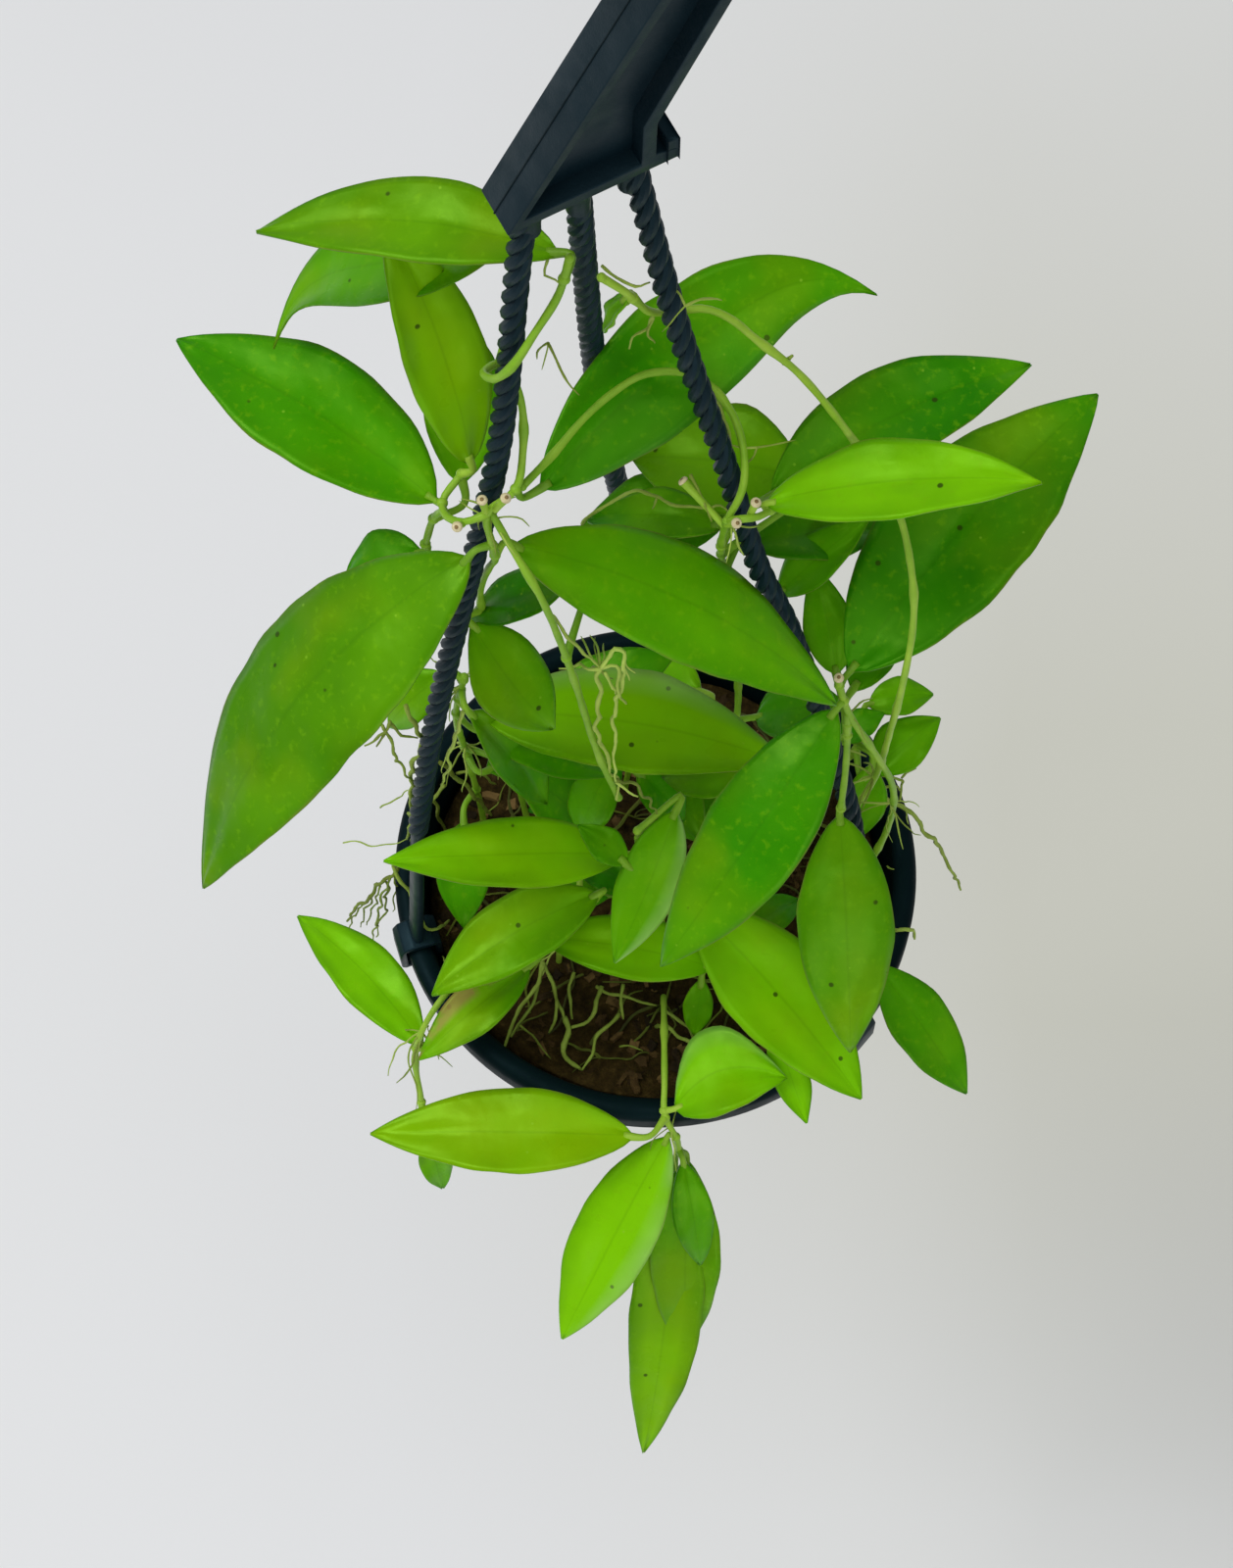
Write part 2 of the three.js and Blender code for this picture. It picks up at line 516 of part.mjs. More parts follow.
// Every shoot, from the growing mix outwards. Each stem is a route, each leaf runs from its
// stalk end to its tip with a width, and a stub or root runs between its points.
const SHOOTS = {
  left_climber: {
    colour: deepGreen,
    stems: [
      [[-34, 14, STEM_FOOT], [-34, 14, 98], [-37, 14, 150], [-38, 14, 200], [-40, 9.5, 238],
        [-41, 7.5, 262], [-41, 6, 284], [-38.6, 4.2, 300], [-36.8, 1.2, 312], [-37.2, -0.6, 325],
        [-37.5, 0.5, 338], [-31.5, 3, 344], [-30, 8.6, 350], [-30.2, 13.6, 365],
        [-33.5, 16.8, 374], [-37.2, 11.5, 381], [-34.5, 6.6, 388], [-31, 6.3, 394],
        [-26.5, 10.5, 400], [-21.8, 14.6, 408], [-19.5, 17.3, 418]],
      [[-37.5, 0.5, 337], [-42.5, -0.5, 335], [-47, 3.5, 330], [-47.5, 8, 328], [-43.5, 12.5, 331]],
      [[-47.2, 5, 329], [-50, 8, 318], [-52.5, 8.2, 304]],
      [[-37, 1, 337], [-33, -3, 328], [-27, -10, 318], [-21, -13, 285], [-15, -17, 242],
        [-10, -19, 216]],
    ],
    leaves: [
      [[-42, -3, 322], [-104, -55, 255], 38, { bow: 7, sweep: -7, roll: 10, fold: -0.1 }],
      [[-49, 8, 327], [-106, 46, 328], 27, { bow: 4, sweep: -1 }],
      [[-41.5, 13, 335], [-58, 43, 390], 18, { bow: 2, sweep: -2 }],
      [[-44, 16, 318], [-50, 55, 330], 18, { bow: 2, sweep: -3 }],
      [[-53.5, 8.1, 300], [-71, 7, 289], 14, { bow: 2 }],
      [[-21.6, 22, 411], [-82, 35, 396], 19, { bow: 3, sweep: -3 }],
      [[-30.5, 38.5, 388], [-83.7, 37.9, 340], 21, { bow: 2, sweep: -2.5, crook: -7.5 }],
      [[-26.6, 6.6, 336.5], [45, 48.2, 344.5], 26,
        { bow: 1.5, sweep: 7, crook: 6, roll: 23 }],
      [[-33, 3, 315], [39, -18, 274], 27, { bow: 5, sweep: 4, fold: -0.08 }],
      [[-20, 7, 288], [-44.5, 6.3, 266], 13, { bow: 1 }],
      [[-43.4, 3.2, 270.8], [-25, -13, 246], 19, { bow: 2, sweep: -2 }],
    ],
    stubs: [
      [[-38, 0.5, 338], [-38.5, -0.5, 346]],
      [[-36, 0.5, 339], [-33.5, -0.5, 347]],
      [[-43, -0.5, 334], [-44, -3, 338]],
    ],
    roots: [
      [[-24, -12, 303], [-18, -12, 290], [-14, -13, 284]],
      [[-14, -13, 284], [-14, -14, 262], [-16, -16.5, 245], [-12, -18.5, 224]],
      [[-14, -13, 284], [-9, -13, 289], [-10, -15, 262], [-12, -18.5, 226]],
      [[-14, -13, 284], [-20, -14, 281]],
    ],
  },
  right_climber: {
    colour: deepGreen,
    stems: [
      [[19, 17, STEM_FOOT], [19, 17, 98], [19, 13, 160], [19, 9, 215], [16, 9, 255],
        [13, 11, 290], [12.5, 6, 313], [13, 3, 328]],
      [[13, 3, 328], [16, 6.9, 334], [16.6, 10.5, 338.5], [15.8, 14.8, 343],
        [13.4, 19.4, 347.5], [9.8, 22.9, 350.5], [5.3, 25.6, 351.5], [0.8, 26.5, 351.5],
        [-5.2, 26.1, 350.5], [-11.9, 22.5, 348.5], [-18.1, 17.4, 346], [-23.9, 11.3, 343],
        [-30.2, 4.2, 342.5]],
      [[13, 3, 328], [16, 2.2, 330.5], [20, 3.5, 329], [23.5, 8, 325], [23.5, 12, 319]],
    ],
    leaves: [
      [[21.3, 6.7, 328.3], [78, 3, 347], 19, { bow: 2, sweep: 2 }],
      [[23, 15, 314], [81, 47, 314], 23, { bow: 2, sweep: 3 }],
      [[31, 28, 296], [-7, 36, 289], 28, { bow: 3 }],
      [[15, 25, 281], [-19, 26, 272], 22, { bow: 3 }],
      [[13, 13.5, 301.5], [-17, 20.5, 289], 13, { bow: 2, sweep: -1 }],
      [[20, 20, 276], [53, 31, 262], 15, { bow: 2 }],
      [[27, 14, 262], [47, 26, 278], 12, { bow: 2 }],
      [[24, 11, 192], [46, 9, 205], 16, { bow: 2 }],
      [[22, 6, 164], [1, 8, 158], 15, { bow: 2 }],
    ],
    stubs: [
      [[13, 3, 326], [15, 1, 331]],
      [[18, 4, 329], [19, 4, 335]],
      [[12.6, 4, 323], [3.7, 11.3, 330]],
    ],
  },
  top_runner: {
    colour: brightGreen,
    stems: [
      [[43, 1, STEM_FOOT], [43, 1, 97], [49, -1, 150], [53.5, -4, 190], [54, -9, 235],
        [55, -8, 262], [56, -2, 282], [55, 3, 296], [51, 12, 312], [46, 17, 320], [40, 19, 334],
        [27, 22, 360], [18, 24, 371], [12.5, 25.4, 377.5], [7.5, 26.3, 380], [1, 26, 379.5],
        [-3.8, 22, 387], [-6.8, 19.9, 396], [-9, 17.6, 404], [-13.4, 18.5, 408]],
    ],
    leaves: [
      [[-8, 20, 398], [-13, 19, 384], 5, { bow: 1 }],
    ],
  },
  right_shoots: {
    colour: deepGreen,
    stems: [
      [[51, -7, STEM_FOOT], [51, -7, 98], [58, -9, 165], [56.5, -12, 205], [50, -13, 232],
        [43, -11, 252], [40, -8, 264]],
      [[43, -11, 252], [44, -14, 225], [44, -17, 203]],
    ],
    leaves: [
      [[43, -5, 262], [101, 59, 275], 34, { bow: 3, sweep: 2 }],
      [[40, -12, 256], [0, -60, 212], 25, { bow: 4, sweep: 1.5, fold: -0.08 }],
      [[44, -17, 198], [48, -65, 156], 24, { bow: 4, fold: -0.1 }],
      [[41, 1, 245], [35.5, 23, 258], 12, { bow: 2 }],
      [[45, -1, 240], [55, 17, 237], 11, { bow: 1 }],
    ],
    stubs: [
      [[40.5, -8.5, 262], [40, -9, 268]],
    ],
  },
  inner_left_shoots: {
    colour: deepGreen,
    stems: [
      [[-47, 19, STEM_FOOT], [-47, 19, 98], [-49, 16, 150], [-50, 9, 200], [-47, 9, 224]],
    ],
    leaves: [
      [[-43, 5, 209], [31, -8, 209], 27, { bow: 3, sweep: 3 }],
      [[-52, 10, 223], [-66, 3, 206], 13, { bow: 2 }],
      [[-46, 3, 216], [-28, -5, 173], 15, { bow: 2, fold: 0.3 }],
      [[-43, 4, 200], [-11, -2, 186], 14, { bow: 2 }],
      [[-36, 8, 162], [-15, -1, 140], 18, { bow: 2 }],
      [[-51, 9, 121], [-51, -18, 112], 15, { bow: 2 }],
    ],
  },
  centre_shoots: {
    colour: brightGreen,
    stems: [
      [[2, -20, STEM_FOOT], [2, -20, 97], [0, -19, 140], [-4, -18, 170], [-5.2, -16.3, 184.6]],
    ],
    leaves: [
      [[-8, -18, 172], [-68, -24, 184], 19, { bow: 2 }],
      [[4.2, -11.4, 186.3], [-11, -46, 170], 15.7, { bow: 2, sweep: 1 }],
      [[-8, -24, 182], [-20, -16, 188], 9, { bow: 1 }],
      [[14.4, -37.8, 140], [-31, -29, 137], 17.6, { bow: 2, sweep: -1 }],
      [[-12, -12, 122], [-33, -10, 117], 10, { bow: 1 }],
    ],
  },
  left_shoots: {
    colour: brightGreen,
    stems: [
      [[-26, -22, STEM_FOOT], [-26, -22, 97], [-24, -23, 122], [-16, -21, 146]],
    ],
    leaves: [
      [[-15, -21, 150], [-58, -44, 136], 20, { bow: 2, sweep: -2 }],
      [[-33, -32, 124], [-62, -56, 118], 14, { bow: 2 }],
    ],
  },
  front_right_shoots: {
    colour: brightGreen,
    stems: [
      [[20, -32, STEM_FOOT], [20, -32, 97], [17, -31, 125], [11, -27, 147]],
    ],
    leaves: [
      [[10, -25, 150], [52, -71, 134], 27, { bow: 2, sweep: 1 }],
      [[30, -49, 124], [39, -72, 114], 10, { bow: 1 }],
      [[12, -35, 121], [10, -46, 107], 8, { bow: 1 }],
    ],
  },
  right_edge_shoot: {
    colour: brightGreen,
    stems: [
      [[50, -26, STEM_FOOT], [50, -26, 97], [53, -28, 110], [57, -30, 117]],
    ],
    leaves: [
      [[58, -30, 117], [83, -58, 92], 17, { bow: 2 }],
    ],
  },
  front_trailer: {
    colour: brightGreen,
    stems: [
      [[2, -35, STEM_FOOT], [2, -35, 105], [2, -49, 115], [2, -62, 117], [2, -70, 115],
        [5, -74, 108], [6, -75, 96]],
    ],
    leaves: [
      [[4.6, -68.6, 116], [33.5, -62.5, 124], 24, { bow: 2, sweep: 6 }],
      [[-6, -76, 116], [-75, -73, 107], 23, { bow: 3 }],
      [[3, -74, 108], [-25, -120, 72], 22, { bow: 3 }],
      [[5, -77, 86], [-3, -140, 14], 20, { bow: 3, sweep: 2 }],
      [[8, -76, 92], [8, -117, 40], 19, { bow: 3 }],
      [[7, -78, 98], [12, -100, 72], 11, { bow: 3 }],
    ],
  },
  outer_left_trailer: {
    colour: brightGreen,
    stems: [
      [[-46, -25, STEM_FOOT], [-46, -25, 104], [-51, -32, 114], [-57, -40, 117],
        [-61.5, -46, 112], [-64, -50, 100], [-63, -58, 84]],
    ],
    leaves: [
      [[-62, -48, 104], [-97, -8.6, 94], 17, { bow: 2, sweep: -2 }],
      [[-62, -64, 80], [-58, -76, 60], 9, { bow: 2 }],
    ],
  },
  back_right_shoots: {
    colour: brightGreen,
    stems: [
      [[42, 26, STEM_FOOT], [42, 26, 97], [46, 24, 125], [52, 21, 142], [54, 28, 152]],
    ],
    leaves: [
      [[55, 30, 152], [72, 33, 152], 11, { bow: 2 }],
      [[56, 15, 142], [74, 28, 148], 14, { bow: 2 }],
      [[48, 22, 148], [59, 27, 154], 9, { bow: 2 }],
      [[56, 16, 145], [54, 3, 126], 11, { bow: 1 }],
    ],
  },
  back_shoots: {
    colour: deepGreen,
    stems: [
      [[-8, 28, STEM_FOOT], [-8, 28, 97], [-6, 24, 140], [-8, 19, 180]],
    ],
    leaves: [
      [[-12, 7, 168], [-20, -5, 150], 13, { bow: 2 }],
      [[-27, 14, 185], [4, 26, 196], 17, { bow: 2 }],
      [[-5, 11, 153], [7, 1, 143], 12, { bow: 2 }],
      [[11, 27, 168], [-6, 39, 158], 13, { bow: 2 }],
    ],
  },
};

// Growing mix: a bark fill with an uneven top, and a plain hole for each stem's foot

function mixSurface(x, y) {
  return MIX_TOP + 1.1 * Math.sin(x * 0.13 + 1.2) * Math.cos(y * 0.15)
    + 0.8 * Math.sin(x * 0.31 + y * 0.27);
}

function makeMix() {
  const wallAt = (z) => Math.min(potRadiusAt(z) - POT_WALL, RIM_INNER_RADIUS) - MIX_CLEARANCE;
  const floor = POT_FLOOR + MIX_CLEARANCE;
  const edge = MIX_TOP - MIX_EDGE_DROP;
  const outline = [[0, floor], [wallAt(floor) - 0.4, floor], [wallAt(edge) - 0.4, edge],
    [wallAt(edge) - 2.4, MIX_TOP], [44, MIX_TOP], [30, MIX_TOP], [15, MIX_TOP], [0, MIX_TOP]];
  const fill = new THREE.LatheGeometry(outline.map(([r, z]) => new THREE.Vector2(r, z)), MIX_SIDES);
  fill.rotateX(Math.PI / 2);
  const places = fill.attributes.position;
  for (let k = 0; k < places.count; k += 1) {
    if (places.getZ(k) > MIX_TOP - 1) {
      places.setZ(k, mixSurface(places.getX(k), places.getY(k)));
    }
  }
  let mix = solid(fill);
  Object.values(SHOOTS).forEach(({ stems }) => {
    const [x, y] = stems[0][0];
    const radius = STEM_RADIUS + STEM_HOLE_CLEARANCE;
    const hole = new THREE.CylinderGeometry(radius, radius, HOLE_LENGTH, HOLE_SIDES);
    hole.rotateX(Math.PI / 2);
    hole.translate(x, y, STEM_FOOT - STEM_HOLE_CLEARANCE + HOLE_LENGTH / 2);
    mix = mix.subtract(solid(hole));
  });
  return mix;
}

// The whole object

const group = new THREE.Group();

function addNode(name, whole, material) {
  const mesh = new THREE.Mesh(geometryOf(whole), material);
  mesh.name = name;
  group.add(mesh);
}

addNode('pot', makePot(), potPlastic);
addNode('hanger', makeHanger(), moulding);
addNode('growing_mix', makeMix(), bark);
Object.entries(SHOOTS).forEach(([name, shoot], number) => {
  addNode(name, makeShoot(shoot, number), shoot.colour);
});

export default group;
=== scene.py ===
"""Looks of a hoya oreogena that climbs the hanger of its pot.

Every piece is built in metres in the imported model's own frame: +Z up, with the origin in the
middle of the pot's underside. Sizes in the tables are millimetres.
"""

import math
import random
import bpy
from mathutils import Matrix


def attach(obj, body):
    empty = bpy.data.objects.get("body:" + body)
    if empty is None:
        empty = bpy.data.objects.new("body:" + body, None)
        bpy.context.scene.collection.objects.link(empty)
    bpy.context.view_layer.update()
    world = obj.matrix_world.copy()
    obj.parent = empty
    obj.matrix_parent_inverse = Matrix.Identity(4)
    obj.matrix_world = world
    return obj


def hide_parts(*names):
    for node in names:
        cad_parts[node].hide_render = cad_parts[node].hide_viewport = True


bl_info = {
    "name": "Potted Hoya",
    "version": (1, 0, 0),
    "blender": (4, 5, 0),
    "location": "View3D > Sidebar > Hoya",
    "description": "Dresses the hanging pot, its hanger, its bark mix and its climbing shoots",
    "category": "Object",
}

import bmesh
import bpy
from bpy.props import FloatProperty, FloatVectorProperty, IntProperty, PointerProperty
from mathutils import Matrix, Vector, noise

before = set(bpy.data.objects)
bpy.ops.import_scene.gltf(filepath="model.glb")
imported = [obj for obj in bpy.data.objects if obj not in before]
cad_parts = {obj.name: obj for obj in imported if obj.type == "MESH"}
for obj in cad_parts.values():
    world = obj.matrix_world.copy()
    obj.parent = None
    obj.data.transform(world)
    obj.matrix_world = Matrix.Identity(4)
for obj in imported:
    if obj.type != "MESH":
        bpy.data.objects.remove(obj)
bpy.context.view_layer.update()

MM = 0.001
UP = Vector((0, 0, 1))

# Pot, in millimetres
POT_HEIGHT = 110
RIM_RADIUS = 70
RIM_INNER_RADIUS = 63.5
RIM_DEPTH = 9
POT_TOP_RADIUS = 66
POT_BASE_RADIUS = 41
POT_WALL = 1.8
POT_FLOOR = 2.8
DRAIN_RADIUS = 4
DRAIN_CIRCLE = 31
DRAIN_COUNT = 6
ROLL_HEIGHT = 2.6
ROLL_STEPS = 12
FOOT_LIFT = 1.2
AXIS_GAP = 0.01
SPIN_GAP = 0.02

# Growing mix, in millimetres
MIX_TOP = 96
MIX_CLEARANCE = 0.4
CHIP_REACH = 58
ROOT_REACH = 56
STEM_FOOT = 85

# Hanger, in millimetres
BAR_HEIGHT = 440
PLATE_CENTRE = Vector((-17.8, 23, BAR_HEIGHT))
PLATE_YAW = math.radians(28)
FLANGE_WIDTH = 11
FLANGE_THICKNESS = 3
WEB_THICKNESS = 2.6
HOOK_INNER_RADIUS = 14
HOOK_OUTER_RADIUS = 24
HOOK_CENTRE = (14, 92)
HOOK_TIP_ANGLE = math.radians(196)
HOOK_STEPS = 40
STRAND_RADIUS = 1.42
STRAND_CIRCLE = 1.34
CORE_RADIUS = 1.1
ARM_TOP_RADIUS = 2.4
ARM_FLARE = 2.9
STRAP_WIDTH = 6
STRAP_THICKNESS = 3
STRAP_START = 4
CLIP_WIDTH = 8.5
CLIP_LEG = 7
CLIP_WALL = 1.9
EDGE_ROUNDING = 0.7
CLIP_ROUNDING = 0.45
SEAM_INSET = 0.02
SEAM_RADIUS = 0.2

# Corners of the hook plate below the hook, each as its outer place and its place inside the flange
PLATE_RIGHT = [
    ((-17.5, 0), (-13.7, 3)),
    ((18.5, 0), (10.6, 3)),
    ((18.5, 3.4), (10.7, 3.6)),
    ((13.8, 4.6), (10.8, 5)),
    ((14, 15.5), (11, 16.2)),
    ((36, 62), (32.9, 62.5)),
]
PLATE_LEFT = ((20, 68), (22.7, 66.6))

# The middle of each arm, from the crossbar down, and the angle of its clip on the rim in degrees
ARMS = [
    (197, [
        (-27.3, 18.2, 442), (-29.5, 15.5, 417), (-33, 10, 372), (-36, 7, 345),
        (-49.5, -2.5, 259), (-54.5, -6.5, 225), (-60.5, -12.5, 172),
    ]),
    (88, [
        (-18, 22.9, 442), (-16.5, 30, 380), (-15, 36.5, 331), (-10.5, 47.5, 252),
        (-3, 60, 172),
    ]),
    (320, [
        (-8.3, 28, 442), (1.5, 20, 386), (11.5, 13, 341), (21, 6, 296),
        (28.7, 2, 271), (46.4, -11.5, 192), (49.6, -16.5, 172),
    ]),
]

# Plant, in millimetres
STEM_RADIUS = 0.9
STALK_RADIUS = 0.95
STALK_SINK = 2.5
BLADE_WAVE = 0.5
EDGE_THICKNESS = 0.35
RIB_HEIGHT = 0.45
RIB_REACH = 0.9
GROOVE_DEPTH = 0.1
GROOVE_REACH = 1.6
PILLOW_HEIGHT = 0.8
STUB_RADIUS = 0.8
ROOT_STEP = 3.2
ROOT_SWAY = 1.5

# Fewest rows of faces along a blade, columns across it, each slot's stem tone and the sway's seed
BLADE_ROWS = 14
BLADE_COLUMNS = 12
STEM_TONES = {"foliage_bright": 0.72, "foliage_dark": 0.55}
SWAY_SEED = 34


def leaf(base, tip, width, tone, bow=2, **shape):
    """A row of the table below: a leaf from its stalk's end to its tip, and how it bends."""
    return base, tip, width, {"tone": tone, "bow": bow, **shape}


